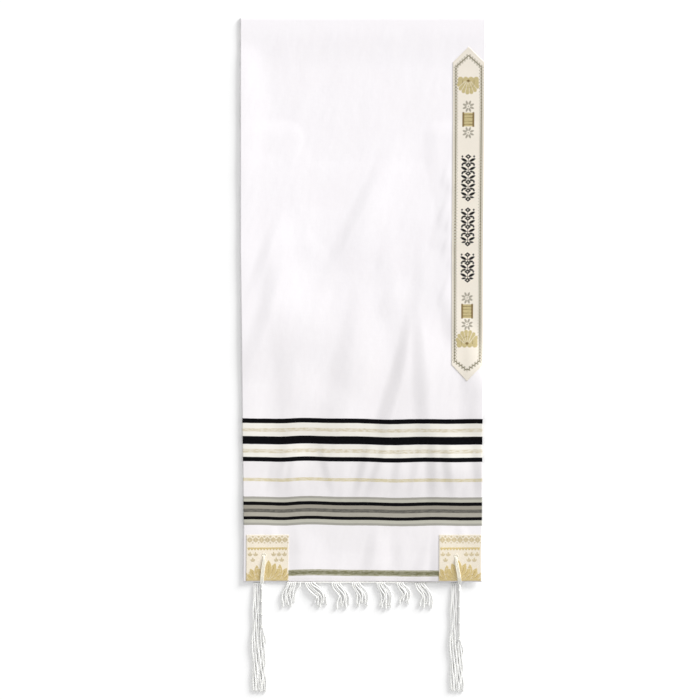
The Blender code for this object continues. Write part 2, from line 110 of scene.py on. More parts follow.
# Creases: each by the line down the middle of its steep left slope, from its upper to its lower end.
# An open one widens to its lower end and runs out beyond it; the others fade at both ends.
FOLD_COLUMNS = ("x0", "y0", "x1", "y1", "height", "left", "right", "bow", "open")
FOLDS = (
    # the large folds between the neckband and the stripes
    (0.122, 0.165, 0.048, -0.165, 0.0082, 0.044, 0.190, -0.009, 1),
    (0.124, 0.190, 0.146, -0.165, 0.0056, 0.048, 0.220, -0.003, 1),
    (-0.014, 0.190, -0.086, -0.165, 0.0052, 0.074, 0.130, -0.002, 1),
    (-0.182, 0.024, -0.216, -0.165, 0.0036, 0.076, 0.180, 0.002, 1),
    (-0.206, 0.265, -0.304, -0.065, 0.0054, 0.046, 0.210, -0.002, 0),
    (-0.204, 0.376, -0.289, 0.140, 0.0036, 0.030, 0.090, 0.000, 0),
    (0.084, 0.560, -0.122, 0.150, 0.0046, 0.036, 0.100, 0.000, 0),
    (-0.150, 0.410, -0.162, 0.220, 0.0010, 0.045, 0.050, 0.002, 0),
    (0.060, 0.340, 0.030, 0.160, 0.0010, 0.028, 0.050, 0.002, 0),
    (0.086, 0.210, 0.034, 0.080, 0.0012, 0.030, 0.050, 0.003, 0),
    (0.190, 0.170, 0.220, 0.000, 0.0023, 0.038, 0.050, -0.004, 0),
    (0.262, 0.080, 0.268, -0.165, 0.0060, 0.064, 0.030, 0.0, 1),
    (0.200, 0.130, 0.210, -0.130, 0.0034, 0.110, 0.040, 0.0, 0),
    (0.140, 0.300, 0.132, 0.110, 0.0010, 0.030, 0.040, 0.002, 0),
    # ripples between the stripes
    (-0.184, -0.170, -0.225, -0.375, 0.0042, 0.026, 0.065, 0.001, 0),
    (-0.206, -0.190, -0.244, -0.375, 0.0014, 0.018, 0.020, 0.001, 0),
    (-0.165, -0.190, -0.196, -0.375, 0.0014, 0.018, 0.080, 0.001, 0),
    (-0.124, -0.170, -0.070, -0.375, 0.0026, 0.024, 0.085, 0.001, 0),
    (0.026, -0.170, -0.028, -0.375, 0.0046, 0.024, 0.085, 0.001, 0),
    (0.074, -0.170, 0.008, -0.352, 0.0040, 0.022, 0.085, 0.001, 0),
    (0.102, -0.180, 0.068, -0.375, 0.0034, 0.026, 0.085, 0.001, 0),
    (0.151, -0.180, 0.109, -0.375, 0.0022, 0.022, 0.080, 0.001, 0),
    (0.176, -0.165, 0.166, -0.380, 0.0062, 0.032, 0.090, 0.001, 0),
    (0.200, -0.170, 0.219, -0.375, 0.0052, 0.030, 0.120, 0.001, 0),
    (0.280, -0.180, 0.288, -0.380, 0.0040, 0.028, 0.020, 0.0, 0),
    # ripples above the hem
    (-0.168, -0.415, -0.174, -0.575, 0.0022, 0.038, 0.070, 0.001, 0),
    (0.034, -0.410, -0.006, -0.575, 0.0032, 0.034, 0.060, -0.002, 0),
    (0.080, -0.420, 0.082, -0.560, 0.0012, 0.030, 0.040, 0.001, 0),
    (0.186, -0.400, 0.174, -0.620, 0.0052, 0.030, 0.080, 0.001, 0),
    (0.120, -0.380, 0.106, -0.650, 0.0032, 0.110, 0.130, 0.0, 0),
    (0.244, -0.405, 0.246, -0.670, 0.0056, 0.100, 0.030, 0.0, 0),
    (0.180, -0.440, 0.112, -0.590, 0.0024, 0.030, 0.040, 0.004, 0),
    (-0.238, -0.415, -0.240, -0.480, 0.0012, 0.024, 0.024, 0.001, 0),
    (0.238, -0.415, 0.238, -0.470, 0.0014, 0.022, 0.022, 0.001, 0),
    # pulls beside the neckband's seam
    (0.226, 0.500, 0.190, 0.412, 0.0011, 0.012, 0.030, 0.004, 0),
    (0.225, 0.446, 0.206, 0.404, 0.0009, 0.008, 0.012, 0.001, 0),
    (0.226, 0.414, 0.180, 0.308, 0.0016, 0.013, 0.034, 0.006, 0),
    (0.224, 0.356, 0.202, 0.302, 0.0012, 0.009, 0.014, 0.002, 0),
    (0.226, 0.318, 0.190, 0.236, 0.0015, 0.011, 0.026, 0.003, 0),
    (0.225, 0.256, 0.206, 0.214, 0.0009, 0.008, 0.012, 0.001, 0),
    (0.224, 0.214, 0.184, 0.110, 0.0014, 0.013, 0.030, 0.005, 0),
)

# What lies under the upper layer: where it must clear it, by how much, and how far its slope reaches
COVER_COLUMNS = ("box", "height", "slope")
COVERS = (
    ((-9.0, 9.0, FAR_END_Y - 0.004, 9.0), 0.0017, 0.080),
    ((-0.205, 0.205, 0.346, 0.424), 0.0024, 0.170),
    ((-9.0, -0.188, FAR_END_Y - 0.004, 0.541), 0.0031, 0.090),
    ((0.194, 9.0, FAR_END_Y - 0.004, 0.541), 0.0031, 0.090),
    ((-9.0, -0.250, 0.298, 0.424), 0.0040, 0.260),
    ((0.226, 9.0, 0.298, 0.424), 0.0040, 0.110),
    ((-9.0, -0.245, 0.142, 0.320), 0.0029, 0.240),
    ((0.224, 9.0, 0.142, 0.320), 0.0029, 0.110),
)

# The selvedge, and how far in the olive stripe starts, as soft slopes by distance from a side edge
SELVEDGE = (0.0050, 0.0034)
OLIVE_START = (0.014, 0.016)

# Painted shade: where the white is greyer, towards the hem, between the two groups of stripes, and below
# them
SHADE_LOWER = (0.86, 0.44)
SHADE_BETWEEN = ((0.37, 0.31), (0.16, 0.24))
SHADE_HEM = (0.150, 0.134)

# Woven stripes, by distance from the nearest end of the cloth: ground colours first, then yarn on them
STRIPE_COLUMNS = ("low", "high", "colour", "uneven")
STRIPES = (
    (0.3610, 0.3990, "cream", 0.0),
    (0.3080, 0.3430, "cream", 0.0),
    (0.3965, 0.4082, "black", 0.0),
    (0.3752, 0.3840, "gold", 0.55),
    (0.3440, 0.3640, "black", 0.0),
    (0.3222, 0.3320, "gold", 0.55),
    (0.3008, 0.3120, "black", 0.0),
    (0.2514, 0.2596, "bright_gold", 0.30),
    (0.1420, 0.2128, "stone", 0.0),
    (0.2074, 0.2128, "grey", 0.15),
    (0.2002, 0.2074, "pale", 0.0),
    (0.1914, 0.2002, "black", 0.0),
    (0.1826, 0.1914, "stone", 0.2),
    (0.1738, 0.1826, "dark_grey", 0.2),
    (0.1636, 0.1738, "light_stone", 0.2),
    (0.1555, 0.1636, "black", 0.0),
    (0.1475, 0.1555, "pale", 0.0),
    (0.1420, 0.1475, "grey", 0.15),
    (0.0160, 0.0312, "olive", 0.2),
    (0.0195, 0.0278, "dark_olive", 0.35),
)
COLOURS = {
    "white": (0.925, 0.904, 0.928),
    # painted shade: the greyer white of the cloth's shaded parts
    "painted_shade_white": (0.815, 0.788, 0.796),
    "cream": (0.830, 0.806, 0.748),
    "black": (0.0030, 0.0030, 0.0038),
    "gold": (0.665, 0.600, 0.455),
    "bright_gold": (0.675, 0.600, 0.390),
    "stone": (0.330, 0.308, 0.258),
    "light_stone": (0.410, 0.388, 0.336),
    "grey": (0.360, 0.350, 0.315),
    "dark_grey": (0.108, 0.103, 0.092),
    "pale": (0.500, 0.490, 0.420),
    "olive": (0.325, 0.312, 0.190),
    "dark_olive": (0.180, 0.174, 0.094),
    "band": (0.868, 0.806, 0.706),
    "band_gold": (0.500, 0.420, 0.215),
    "band_line": (0.185, 0.167, 0.105),
    "band_brown": (0.215, 0.150, 0.062),
    "band_grey": (0.350, 0.322, 0.262),
    "band_dark": (0.016, 0.014, 0.013),
    "satin": (0.870, 0.800, 0.680),
    "satin_gold": (0.560, 0.440, 0.200),
    "satin_grey": (0.540, 0.455, 0.290),
    "satin_brown": (0.420, 0.290, 0.100),
    "yarn": (0.970, 0.966, 0.948),
    "sewing": (0.78, 0.76, 0.72),
    "slub": (0.80, 0.78, 0.79),
    "black_light": (0.014, 0.014, 0.017),
}

# The corner tassels. The two far ones are thinner than their solids
TASSEL_COLUMNS = (
    "name", "eyelet", "top", "toe", "left", "right", "end", "cord", "knot", "strand", "loose",
)
TASSELS = (
    ("tzitzit_hem_left", (-0.2464, -0.4996), (-0.2515, HEM_Y - 0.0050), -0.677, -0.2762, -0.2412,
     -0.8414, 0.0034, 0.0044, 0.0018, 4),
    ("tzitzit_hem_right", (0.2327, -0.5021), (0.2412, HEM_Y - 0.0050), -0.708, 0.2172, 0.2510,
     -0.8405, 0.0034, 0.0044, 0.0018, 4),
    ("tzitzit_far_left", None, (-0.2600, FAR_END_Y - 0.0030), 0.310, -0.2720, -0.2480,
     0.150, 0.0013, 0.0016, 0.0009, 0),
    ("tzitzit_far_right", None, (0.2380, FAR_END_Y - 0.0030), 0.310, 0.2260, 0.2500,
     0.150, 0.0013, 0.0016, 0.0009, 0),
)
TASSEL_STRANDS = 8
KNOTS = 4
STRAND_REST = 0.0026
KNOT_CORD = 0.0015
CORDS_APART = 0.0031
EYELET_STITCHES = 26

# How far from a yarn's middle each ply winds, and how thick it is, as shares of the yarn's radius
PLY_SWING = 0.41
PLY_SIZE = 0.63

# How far the folded-under end slopes up to its patches
PATCH_SLOPE = 0.030

# The clusters of hem fringe, from the cloth's middle: where each grows and where its tips lie
CLUSTER_COLUMNS = ("root", "tip", "reach", "sway", "strands")
CLUSTERS = (
    (-0.178, -0.186, 0.062, -0.004, 3),
    (-0.156, -0.172, 0.056, 0.000, 1),
    (-0.134, -0.106, 0.062, 0.008, 3),
    (-0.068, -0.050, 0.066, 0.007, 3),
    (-0.018, -0.002, 0.060, 0.005, 3),
    (0.044, 0.056, 0.068, 0.007, 3),
    (0.092, 0.104, 0.055, 0.008, 2),
    (0.140, 0.158, 0.065, 0.007, 3),
)

# The lengths of the neckband's vine: where each starts and how many lozenges it has
VINE_COLUMNS = ("start", "links")
VINES = ((1.0600, 6), (0.9270, 5), (0.8153, 4))
VINE_PITCH = 0.0212

# The patches' motifs: the flowers' row and pitch, the scalloped line, the sprigs and the palmettes
FLOWER_ROW = 0.1045
FLOWER_PITCH = 0.0150
SCALLOP_ROW = 0.0838
SCALLOP_PITCH = 0.0079
PALMETTE_COLUMNS = ("shift", "up", "size", "petals", "spread")
PALMETTES = (
    (-0.0460, 0.0040, 0.0280, 5, 74),
    (0.0450, 0.0040, 0.0290, 5, 74),
    (-0.0300, 0.0040, 0.0380, 5, 62),
    (0.0290, 0.0040, 0.0400, 5, 62),
    (0.0, 0.0040, 0.0500, 7, 70),
)
SPRIGS = (  # across and up
    (0.0100, 0.0660), (0.0240, 0.0660), (0.0700, 0.0660), (0.0840, 0.0660), (0.0980, 0.0660),
    (0.0170, 0.0520), (0.0770, 0.0520), (0.0910, 0.0520),
)

# The stage. A light's share is its part of the light on the floor, and its width is how wide it looks
FLOOR_REACH = 6.0
WORLD_LIGHT = 0.73
LIGHT_COLUMNS = ("name", "elevation", "azimuth", "share", "width")
LIGHTS = (("key", 15.0, 45.0, 0.32, 26.0),)
CAMERA_LENS = 165.0
CAMERA_SENSOR = 36.0
CAMERA_VIEW = 1.7465
CAMERA_PLACE = (-0.0320, 0.0120)


def smooth(value):
    """0 below 0, 1 above 1, and a soft slope between them."""
    value = np.clip(value, 0.0, 1.0)
    return value * value * (3.0 - 2.0 * value)


def rows_of(columns, table):
    """A table's rows, each with its values by column."""
    return [dict(zip(columns, row)) for row in table]


# The cloth's form


def line_distance(x, y, start, end):
    """How far along a line from start to end a point lies, from 0 to 1, and how far to its left."""
    dx, dy = end[0] - start[0], end[1] - start[1]
    length = math.hypot(dx, dy)
    along = ((x - start[0]) * dx + (y - start[1]) * dy) / length**2
    side = ((x - start[0]) * dy - (y - start[1]) * dx) / length
    return along, side


def creases(x, y):
    """Height of the creases at places on the upper layer."""
    height = np.zeros_like(x)
    for fold in rows_of(FOLD_COLUMNS, FOLDS):
        along, side = line_distance(x, y, (fold["x0"], fold["y0"]), (fold["x1"], fold["y1"]))
        reach = np.clip(along, 0.0, 1.0)
        side = side - fold["bow"] * np.sin(np.pi * reach)
        if fold["open"]:
            width = 0.45 + 0.55 * smooth(reach / 0.8)
            fade = smooth(along / 0.72) * smooth((1.28 - along) / 0.34)
        else:
            width = 0.75 + 0.25 * np.sin(np.pi * reach)
            fade = smooth(along / 0.5) * smooth((1.0 - along) / 0.45)
        left, right = fold["left"] * width, fold["right"] * width
        off_ridge = side + left / 2
        across = smooth(1.0 - np.where(off_ridge > 0, off_ridge / left, -off_ridge / right))
        height = height + fold["height"] * across * fade
    return height


def uneven(x, y, step_x, step_y, seed):
    """Soft noise from -1 to 1 at places, with patches of about the given size."""
    flat = zip((x / step_x).ravel(), (y / step_y).ravel())
    values = [noise.noise(Vector((a, b, seed))) for a, b in flat]
    return np.array(values).reshape(x.shape)


def box_distance(x, y, box):
    """Distance outside a box that is given as left, right, low and high."""
    left, right, low, high = box
    out_x = np.maximum(np.maximum(left - x, x - right), 0.0)
    out_y = np.maximum(np.maximum(low - y, y - high), 0.0)
    return np.hypot(out_x, out_y)


def far_patch_lift(x, y):
    """Height of the folded-under end over its two corner patches."""
    outside_x = HALF_WIDTH - PATCH_EDGE - PATCH_WIDTH - np.abs(x)
    outside_y = y - (FAR_END_Y + PATCH_LENGTH)
    return PATCH_LIFT * smooth(1.0 - np.maximum(outside_x, outside_y) / PATCH_SLOPE)


def upper_lift(x, y):
    """Height of the upper layer's middle surface over the wall's own half thickness."""
    base = np.zeros_like(x)
    for cover in rows_of(COVER_COLUMNS, COVERS):
        out = box_distance(x, y, cover["box"])
        base = np.maximum(base, cover["height"] * smooth(1.0 - out / cover["slope"]))
    roll = smooth((y - FOLD_CENTRE_Y + FOLD_SETTLE) / FOLD_SETTLE)
    return base + (2 * FOLD_RADIUS - base) * roll


def side_edges(y):
    """Where the cloth's left and right edges lie."""
    rows = rows_of(EDGE_COLUMNS, EDGES)
    stations = [row["y"] for row in rows]
    return [np.interp(y, stations, [row[side] for row in rows]) for side in ("left", "right")]


def edge_lift(x, y, left):
    """How far the left edge and the hem stand off what they lie on."""
    wave = 0.84 + 0.16 * np.sin(y * 21.0 + 0.7) * np.cos(y * 8.3)
    side = EDGE_LIFT * wave * smooth((left + EDGE_LIFT_WIDTH - x) / EDGE_LIFT_WIDTH)
    side = side * smooth((FOLD_CENTRE_Y - y) / 0.10)
    hem_wave = 0.88 + 0.12 * np.sin(x * 31.0)
    hem = HEM_LIFT * hem_wave * smooth((HEM_Y + HEM_LIFT_WIDTH - y) / HEM_LIFT_WIDTH)
    return np.maximum(side, hem)


def crumple(x, y):
    """Shallow unevenness of limp cloth that lies loose, drawn out along leaning lines."""
    over = x * math.cos(CRUMPLE_LEAN) - y * math.sin(CRUMPLE_LEAN)
    down = x * math.sin(CRUMPLE_LEAN) + y * math.cos(CRUMPLE_LEAN)
    broad = 0.00042 * (1.0 + uneven(over, down, 0.046, 0.130, 3.1))
    fine = 0.00022 * (1.0 + uneven(over, down, 0.015, 0.044, 7.7))
    between = smooth((y + 0.42) / 0.03) * smooth((-0.19 - y) / 0.05)
    return (broad + fine * (1.0 + 1.2 * between)) * smooth((FOLD_CENTRE_Y - y) / 0.05)


def cloth_points(across, along):
    """Places of points of the cut cloth's middle surface, from their distances across and along."""
    across, along = np.broadcast_arrays(np.asarray(across, float), np.asarray(along, float))
    past = along - UPPER_LENGTH
    upper, under = past <= 0, past > FOLD_ARC
    turn = np.clip(past / FOLD_RADIUS, 0.0, math.pi)
    y = np.where(upper, HEM_Y + along, FOLD_CENTRE_Y + FOLD_RADIUS * np.sin(turn))
    y = np.where(under, FOLD_CENTRE_Y - (past - FOLD_ARC), y)
    left, right = side_edges(np.where(under, np.maximum(y, UNDER_EDGE_Y), y))
    x = left + (right - left) * across / CLOTH_WIDTH
    lifts = upper_lift(x, y) ** 3 + edge_lift(x, y, left) ** 3
    top = np.cbrt(lifts) + creases(x, y) + crumple(x, y)
    arc = FOLD_RADIUS + FOLD_RADIUS * np.cos(turn)
    z = WALL / 2 + np.where(upper, top, np.where(under, far_patch_lift(x, y), arc))
    return np.stack([x, y, z], axis=-1)


def cloth_normals(across, along):
    """Outward normals of the cloth's face at the same kind of places."""
    step = 0.0008
    over = cloth_points(across + step, along) - cloth_points(across - step, along)
    up = cloth_points(across, along + step) - cloth_points(across, along - step)
    normals = np.cross(over, up)
    return normals / np.linalg.norm(normals, axis=-1, keepdims=True)


def cut_place(x, y):
    """Distances across and along the cut of a place on the upper layer."""
    left, right = side_edges(y)
    return (x - left) / (right - left) * CLOTH_WIDTH, y - HEM_Y


def raised(across, along, height):
    """Places that lie the given height above the cloth's face."""
    return cloth_points(across, along) + cloth_normals(across, along) * (WALL / 2 + height)


# Mesh helpers


def stations(stops, step):
    """Values that hold every stop, with equal steps no longer than the given one between them."""
    values = [stops[0]]
    for low, high in zip(stops, stops[1:]):
        count = max(1, math.ceil((high - low) / step - 1e-9))
        values += [low + (high - low) * k / count for k in range(1, count + 1)]
    return np.array(values)


def placed(name, data):
    """A new object in the scene."""
    made = bpy.data.objects.new(name, data)
    bpy.context.scene.collection.objects.link(made)
    return made


def new_piece(name, vertices, faces, finish, node=None):
    """A smooth mesh piece that rides on the shawl and can stand for one of its solids."""
    data = bpy.data.meshes.new(name)
    data.from_pydata([tuple(v) for v in vertices], [], faces)
    data.polygons.foreach_set("use_smooth", [True] * len(data.polygons))
    data.materials.append(finish)
    data.update()
    piece = placed(name, data)
    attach(piece, "root")
    if node:
        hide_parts(node)
    return piece


def grid_faces(rows, columns):
    """Quads of a grid of points that are numbered row by row."""
    faces = []
    for i in range(rows - 1):
        for j in range(columns - 1):
            a = i * columns + j
            faces.append((a, a + 1, a + columns + 1, a + columns))
    return faces


def set_cut_map(piece, across, along):
    """A UV map that holds each point's distances across and along the flat cut, in metres."""
    layer = piece.data.uv_layers.new(name="cut")
    index = np.zeros(len(piece.data.loops), np.int32)
    piece.data.loops.foreach_get("vertex_index", index)
    flat = np.stack([np.ravel(across)[index], np.ravel(along)[index]], axis=-1)
    layer.data.foreach_set("uv", flat.astype(np.float32).ravel())


def set_values(piece, name, values):
    """An attribute that holds one value for each point."""
    attribute = piece.data.attributes.new(name, "FLOAT", "POINT")
    attribute.data.foreach_set("value", np.ravel(values).astype(np.float32))


def thicken(piece, thickness, offset):
    """Makes a sheet a closed wall."""
    wall = piece.modifiers.new("wall", "SOLIDIFY")
    wall.thickness = thickness
    wall.offset = offset
    wall.use_even_offset = True


def lengths_of(points):
    """The length of a path up to each of its points."""
    return np.concatenate([[0.0], np.cumsum(np.linalg.norm(np.diff(points, axis=0), axis=1))])


def directions(points, reference=(0.0, 0.0, 1.0)):
    """The sideways and the upward direction at each point of a path."""
    ahead = np.gradient(points, axis=0)
    ahead /= np.linalg.norm(ahead, axis=1, keepdims=True)
    beside = np.cross(ahead, np.asarray(reference, float))
    beside /= np.maximum(np.linalg.norm(beside, axis=1, keepdims=True), 1e-9)
    return beside, np.cross(beside, ahead)


def tube(points, radii, sides, reference):
    """Points and faces of a closed tube along a path, with its rings turned by a reference direction."""
    points, radii = np.asarray(points, float), np.asarray(radii, float)
    beside, over = directions(points, reference)
    angles = np.arange(sides) * 2 * math.pi / sides
    ring = (
        beside[:, None, :] * np.cos(angles)[None, :, None]
        + over[:, None, :] * np.sin(angles)[None, :, None]
    )
    vertices = (points[:, None, :] + ring * radii[:, None, None]).reshape(-1, 3)
    faces = []
    for i in range(len(points) - 1):
        for j in range(sides):
            k = (j + 1) % sides
            faces.append((i * sides + j, i * sides + k, (i + 1) * sides + k, (i + 1) * sides + j))
    last = (len(points) - 1) * sides
    faces.append(tuple(range(sides - 1, -1, -1)))
    faces.append(tuple(last + j for j in range(sides)))
    return vertices, faces


class Shapes:
    """Gathers tubes into one mesh."""

    def __init__(self):
        self.vertices, self.faces = [], []

    def tube(self, points, radii, sides=6, reference=(0.0, 0.0, 1.0)):
        radii = np.broadcast_to(np.asarray(radii, float), (len(points),))
        vertices, faces = tube(points, radii, sides, reference)
        start = len(self.vertices)
        self.vertices += [tuple(v) for v in vertices]
        self.faces += [tuple(start + k for k in face) for face in faces]

    def yarn(self, points, radius, pitch, plies=3, sides=5, turn=0.0, loosen=0.0):
        """A yarn of plies that wind round each other, and come apart over its last part."""
        points = np.asarray(points, float)
        lengths = lengths_of(points)
        total = lengths[-1]
        steps = max(6, int(total / pitch * 7))
        even = np.linspace(0.0, total, steps + 1)
        line = np.stack([np.interp(even, lengths, points[:, k]) for k in range(3)], axis=-1)
        radius = np.interp(even, lengths, np.broadcast_to(radius, (len(points),)))
        beside, over = directions(line)
        left_over = np.clip((total - even) / 0.012, 0.0, 1.0)
        open_up = 1.0 + loosen * (1.0 - left_over)
        thin = 0.35 + 0.65 * np.sqrt(np.clip((total - even) / 0.004, 0.0, 1.0))
        for ply in range(plies):
            angle = turn + 2 * math.pi * (even / pitch + ply / plies)
            swing = radius * PLY_SWING
            sideways = beside * (np.cos(angle) * swing * open_up)[:, None]
            path = line + sideways + over * (np.sin(angle) * swing)[:, None]
            self.tube(path, radius * PLY_SIZE * thin, sides)

    def piece(self, name, finish, slot, node=None):
        return new_piece(name, self.vertices, self.faces, finish, node)


# Flat shapes for the woven motifs, as distances that are negative inside


def disc(x, y, cx, cy, radius):
    return np.hypot(x - cx, y - cy) - radius


def lozenge(x, y, cx, cy, half_x, half_y):
    scale = half_x * half_y / math.hypot(half_x, half_y)
    return (np.abs(x - cx) / half_x + np.abs(y - cy) / half_y - 1.0) * scale


def block(x, y, cx, cy, half_x, half_y):
    dx, dy = np.abs(x - cx) - half_x, np.abs(y - cy) - half_y
    outside = np.hypot(np.maximum(dx, 0.0), np.maximum(dy, 0.0))
    return outside + np.minimum(np.maximum(dx, dy), 0.0)


def bar(x, y, start, end, half):
    dx, dy = end[0] - start[0], end[1] - start[1]
    t = np.clip(((x - start[0]) * dx + (y - start[1]) * dy) / (dx * dx + dy * dy), 0.0, 1.0)
    return np.hypot(x - start[0] - t * dx, y - start[1] - t * dy) - half


def leaf(x, y, base, tip, width):
    """A pointed leaf from its base to its tip, as the overlap of two discs."""
    length = math.hypot(tip[0] - base[0], tip[1] - base[1])
    along, side = line_distance(x, y, base, tip)
    along = (along - 0.5) * length
    radius = (length * length / 4 + width * width / 4) / width
    return np.hypot(along, np.abs(side) + radius - width / 2) - radius


def sides_of(corners):
    """The sides of a closed outline, each as its two corners."""
    return zip(corners, corners[1:] + corners[:1])


def around(cx, cy, radius, angle):
    """A place on a circle."""
    return cx + radius * math.cos(angle), cy + radius * math.sin(angle)


def join(*shapes):
    """All that lies inside any of the shapes."""
    result = shapes[0]
    for shape in shapes[1:]:
        result = np.minimum(result, shape)
    return result


def without(shape, hole):
    """A shape with a hole cut out of it."""
    return np.maximum(shape, -hole)


# Materials


class Finish:
    """A material and short ways to add nodes to it."""

    def __init__(self, name, roughness, **settings):
        self.material = bpy.data.materials.new(name)
        self.material.use_nodes = True
        self.tree = self.material.node_tree
        self.shader = self.tree.nodes["Principled BSDF"]
        self.shader.inputs["Roughness"].default_value = roughness
        for socket, value in settings.items():
            self.shader.inputs[socket.replace("_", " ")].default_value = value

    def put(self, socket, value):
        if isinstance(value, bpy.types.NodeSocket):
            self.tree.links.new(value, socket)
        elif hasattr(value, "__len__"):
            socket.default_value = (*value, 1.0)[: len(socket.default_value)]
        else:
            socket.default_value = value

    def node(self, kind, output, settings=(), **inputs):
        """One output of a new shader node, after its settings and its inputs are given."""
        made = self.tree.nodes.new("ShaderNode" + kind)
        for name, value in settings:
            setattr(made, name, value)
        for name, value in inputs.items():
            self.put(made.inputs[name.replace("_", " ")], value)
        return made.outputs[output]

    def math(self, operation, a, b=0.0, c=0.0):
        made = self.tree.nodes.new("ShaderNodeMath")
        made.operation = operation
        for socket, value in zip(made.inputs, (a, b, c)):
            self.put(socket, value)
        return made.outputs[0]

    def times(self, a, b):
        return self.math("MULTIPLY", a, b)

    def plus(self, a, b):
        return self.math("ADD", a, b)

    def minus(self, a, b):
        return self.math("SUBTRACT", a, b)

    def larger(self, a, b):
        return self.math("MAXIMUM", a, b)

    def scaled(self, value, scale, shift):
        return self.math("MULTIPLY_ADD", value, scale, shift)

    def mix(self, factor, a, b):
        """Colour a where the factor is 0 and b where it is 1."""
        made = self.tree.nodes.new("ShaderNodeMix")
        made.data_type = "RGBA"
        self.put(made.inputs["Factor"], factor)
        for socket, value in zip([s for s in made.inputs if s.type == "RGBA"], (a, b)):
            self.put(socket, value)
        return next(s for s in made.outputs if s.type == "RGBA")

    def step(self, value, low, high):
        """0 below low and 1 above high, with a soft slope between them, or the reverse if low is higher."""
        smooth_step = (("interpolation_type", "SMOOTHSTEP"),)
        return self.node("MapRange", "Result", smooth_step, Value=value, From_Min=low, From_Max=high)

    def from_sides(self, across, slope):
        """The same slope by distance from the cloth's left edge and from its right edge."""
        return (self.step(across, *slope), self.step(across, *(CLOTH_WIDTH - d for d in slope)))

    def attribute(self, name):
        return self.node("Attribute", "Fac", (("attribute_name", name),))

    def split(self, place):
        """A place's parts along X, Y and Z."""
        made = self.tree.nodes.new("ShaderNodeSeparateXYZ")
        self.tree.links.new(place, made.inputs[0])
        return made.outputs

    def cut(self):
        """The cut map's distances across and along, in metres, and the two together."""
        place = self.node("UVMap", "UV", (("uv_map", "cut"),))
        parts = self.split(place)
        return parts["X"], parts["Y"], place

    def object_place(self):
        return self.node("TexCoord", "Object")

    def noise(self, place, scale, detail=2.0, roughness=0.5):
        return self.node("TexNoise", 0, Vector=place, Scale=scale, Detail=detail, Roughness=roughness)

    def streaks(self, place, x, y, detail, roughness=0.5, z=1.0):
        """Noise that is scaled by a different amount in each direction."""
        stretched = self.node("Mapping", "Vector", Vector=place, Scale=(x, y, z))
        return self.noise(stretched, 1.0, detail, roughness)

    def wave(self, value, period):
        """A sine of a distance, from 0 to 1."""
        return self.scaled(self.math("SINE", self.times(value, 2 * math.pi / period)), 0.5, 0.5)

    def weave(self, across, along, period):
        """Height of a plain weave: threads that pass over and under each other."""
        warp, weft = self.wave(across, period), self.wave(along, period)
        over = self.wave(self.plus(across, along), period * 2)
        return self.plus(self.times(warp, over), self.times(weft, self.minus(1.0, over)))

    def bump(self, height, distance, strength, **below):
        """A normal with a height's relief, on top of another one that can be given as Normal."""
        return self.node("Bump", "Normal", Height=height, Distance=distance, Strength=strength, **below)

    def use(self, **links):
        for socket, value in links.items():
            self.put(self.shader.inputs[socket.replace("_", " ")], value)
        return self.material


def shaded(tone, factors):
    """A tone with each of its channels made darker by a factor."""
    return tuple(c * f for c, f in zip(tone, factors))


def cloth_finish():
    """Soft white plain weave with stripes woven across both ends."""
    made = Finish("white_wool", 0.9, Sheen_Weight=0.02, Sheen_Roughness=0.5, Specular_IOR_Level=0.03)
    across, along, place = made.cut()
    end = made.attribute("from_end")
    thread = made.streaks(place, 60.0, 1400.0, 1.0)
    shifted = made.plus(end, made.scaled(thread, 0.0012, -0.0006))
    tint = made.noise(place, 9.0, 2.0)
    white = COLOURS["white"]
    colour = made.mix(tint, white, shaded(white, (0.985, 0.972, 0.975)))
    # Painted shade: greyer white towards the hem, between the two groups of stripes and below them, made
    # uneven by the tint noise
    painted_shade = made.times(made.step(along, *SHADE_LOWER), 0.62)
    between = made.times(*(made.step(end, *slope) for slope in SHADE_BETWEEN))
    painted_shade = made.scaled(between, 0.85, painted_shade)
    painted_shade = made.scaled(made.times(made.step(along, *SHADE_HEM), 1.0), 0.18, painted_shade)
    painted_shade = made.times(painted_shade, made.scaled(tint, 0.5, 0.62))
    colour = made.mix(painted_shade, colour, COLOURS["painted_shade_white"])
    slub = made.step(made.streaks(place, 90.0, 900.0, 2.0), 0.60, 0.74)
    colour = made.mix(made.times(slub, 0.10), colour, COLOURS["slub"])
    dashes = made.streaks(place, 75.0, 300.0, 2.0)
    sparkle = made.streaks(place, 520.0, 2200.0, 1.0)
    bright = made.streaks(place, 160.0, 1500.0, 1.0)
    inside = made.times(*made.from_sides(across, OLIVE_START))
    metal = None
    for stripe in rows_of(STRIPE_COLUMNS, STRIPES):
        rise = made.step(shifted, stripe["low"] - 0.0007, stripe["low"] + 0.0007)
        fall = made.step(shifted, stripe["high"] - 0.0007, stripe["high"] + 0.0007)
        mask = made.times(rise, made.minus(1.0, fall))
        yarn = COLOURS[stripe["colour"]]
        if "olive" in stripe["colour"]:
            mask = made.times(mask, inside)
        if stripe["colour"] == "black":
            yarn = made.mix(made.step(bright, 0.55, 0.78), yarn, COLOURS["black_light"])
        if stripe["uneven"]:
            gaps = made.times(made.step(dashes, 0.60, 0.42), stripe["uneven"])
            gaps = made.plus(gaps, made.times(made.step(sparkle, 0.56, 0.66), 0.25))
            mask = made.times(mask, made.minus(1.0, gaps))
        colour = made.mix(mask, colour, yarn)
        if "gold" in stripe["colour"]:
            metal = mask if metal is None else made.larger(metal, mask)
    weave = made.weave(across, along, 0.0011)
    soft = made.streaks(place, 70.0, 38.0, 3.0, 0.6)
    selvedge = made.larger(*made.from_sides(across, SELVEDGE))
    rib = made.times(made.wave(across, 0.0016), selvedge)
    height = made.plus(weave, made.times(rib, 1.5))
    normal = made.bump(soft, 0.0005, 0.5)
    normal = made.bump(height, 0.00010, 0.6, Normal=normal)
    return made.use(
        Base_Color=colour, Normal=normal, Metallic=made.times(metal, 0.25),
        Roughness=made.scaled(metal, -0.42, 0.9),
    )


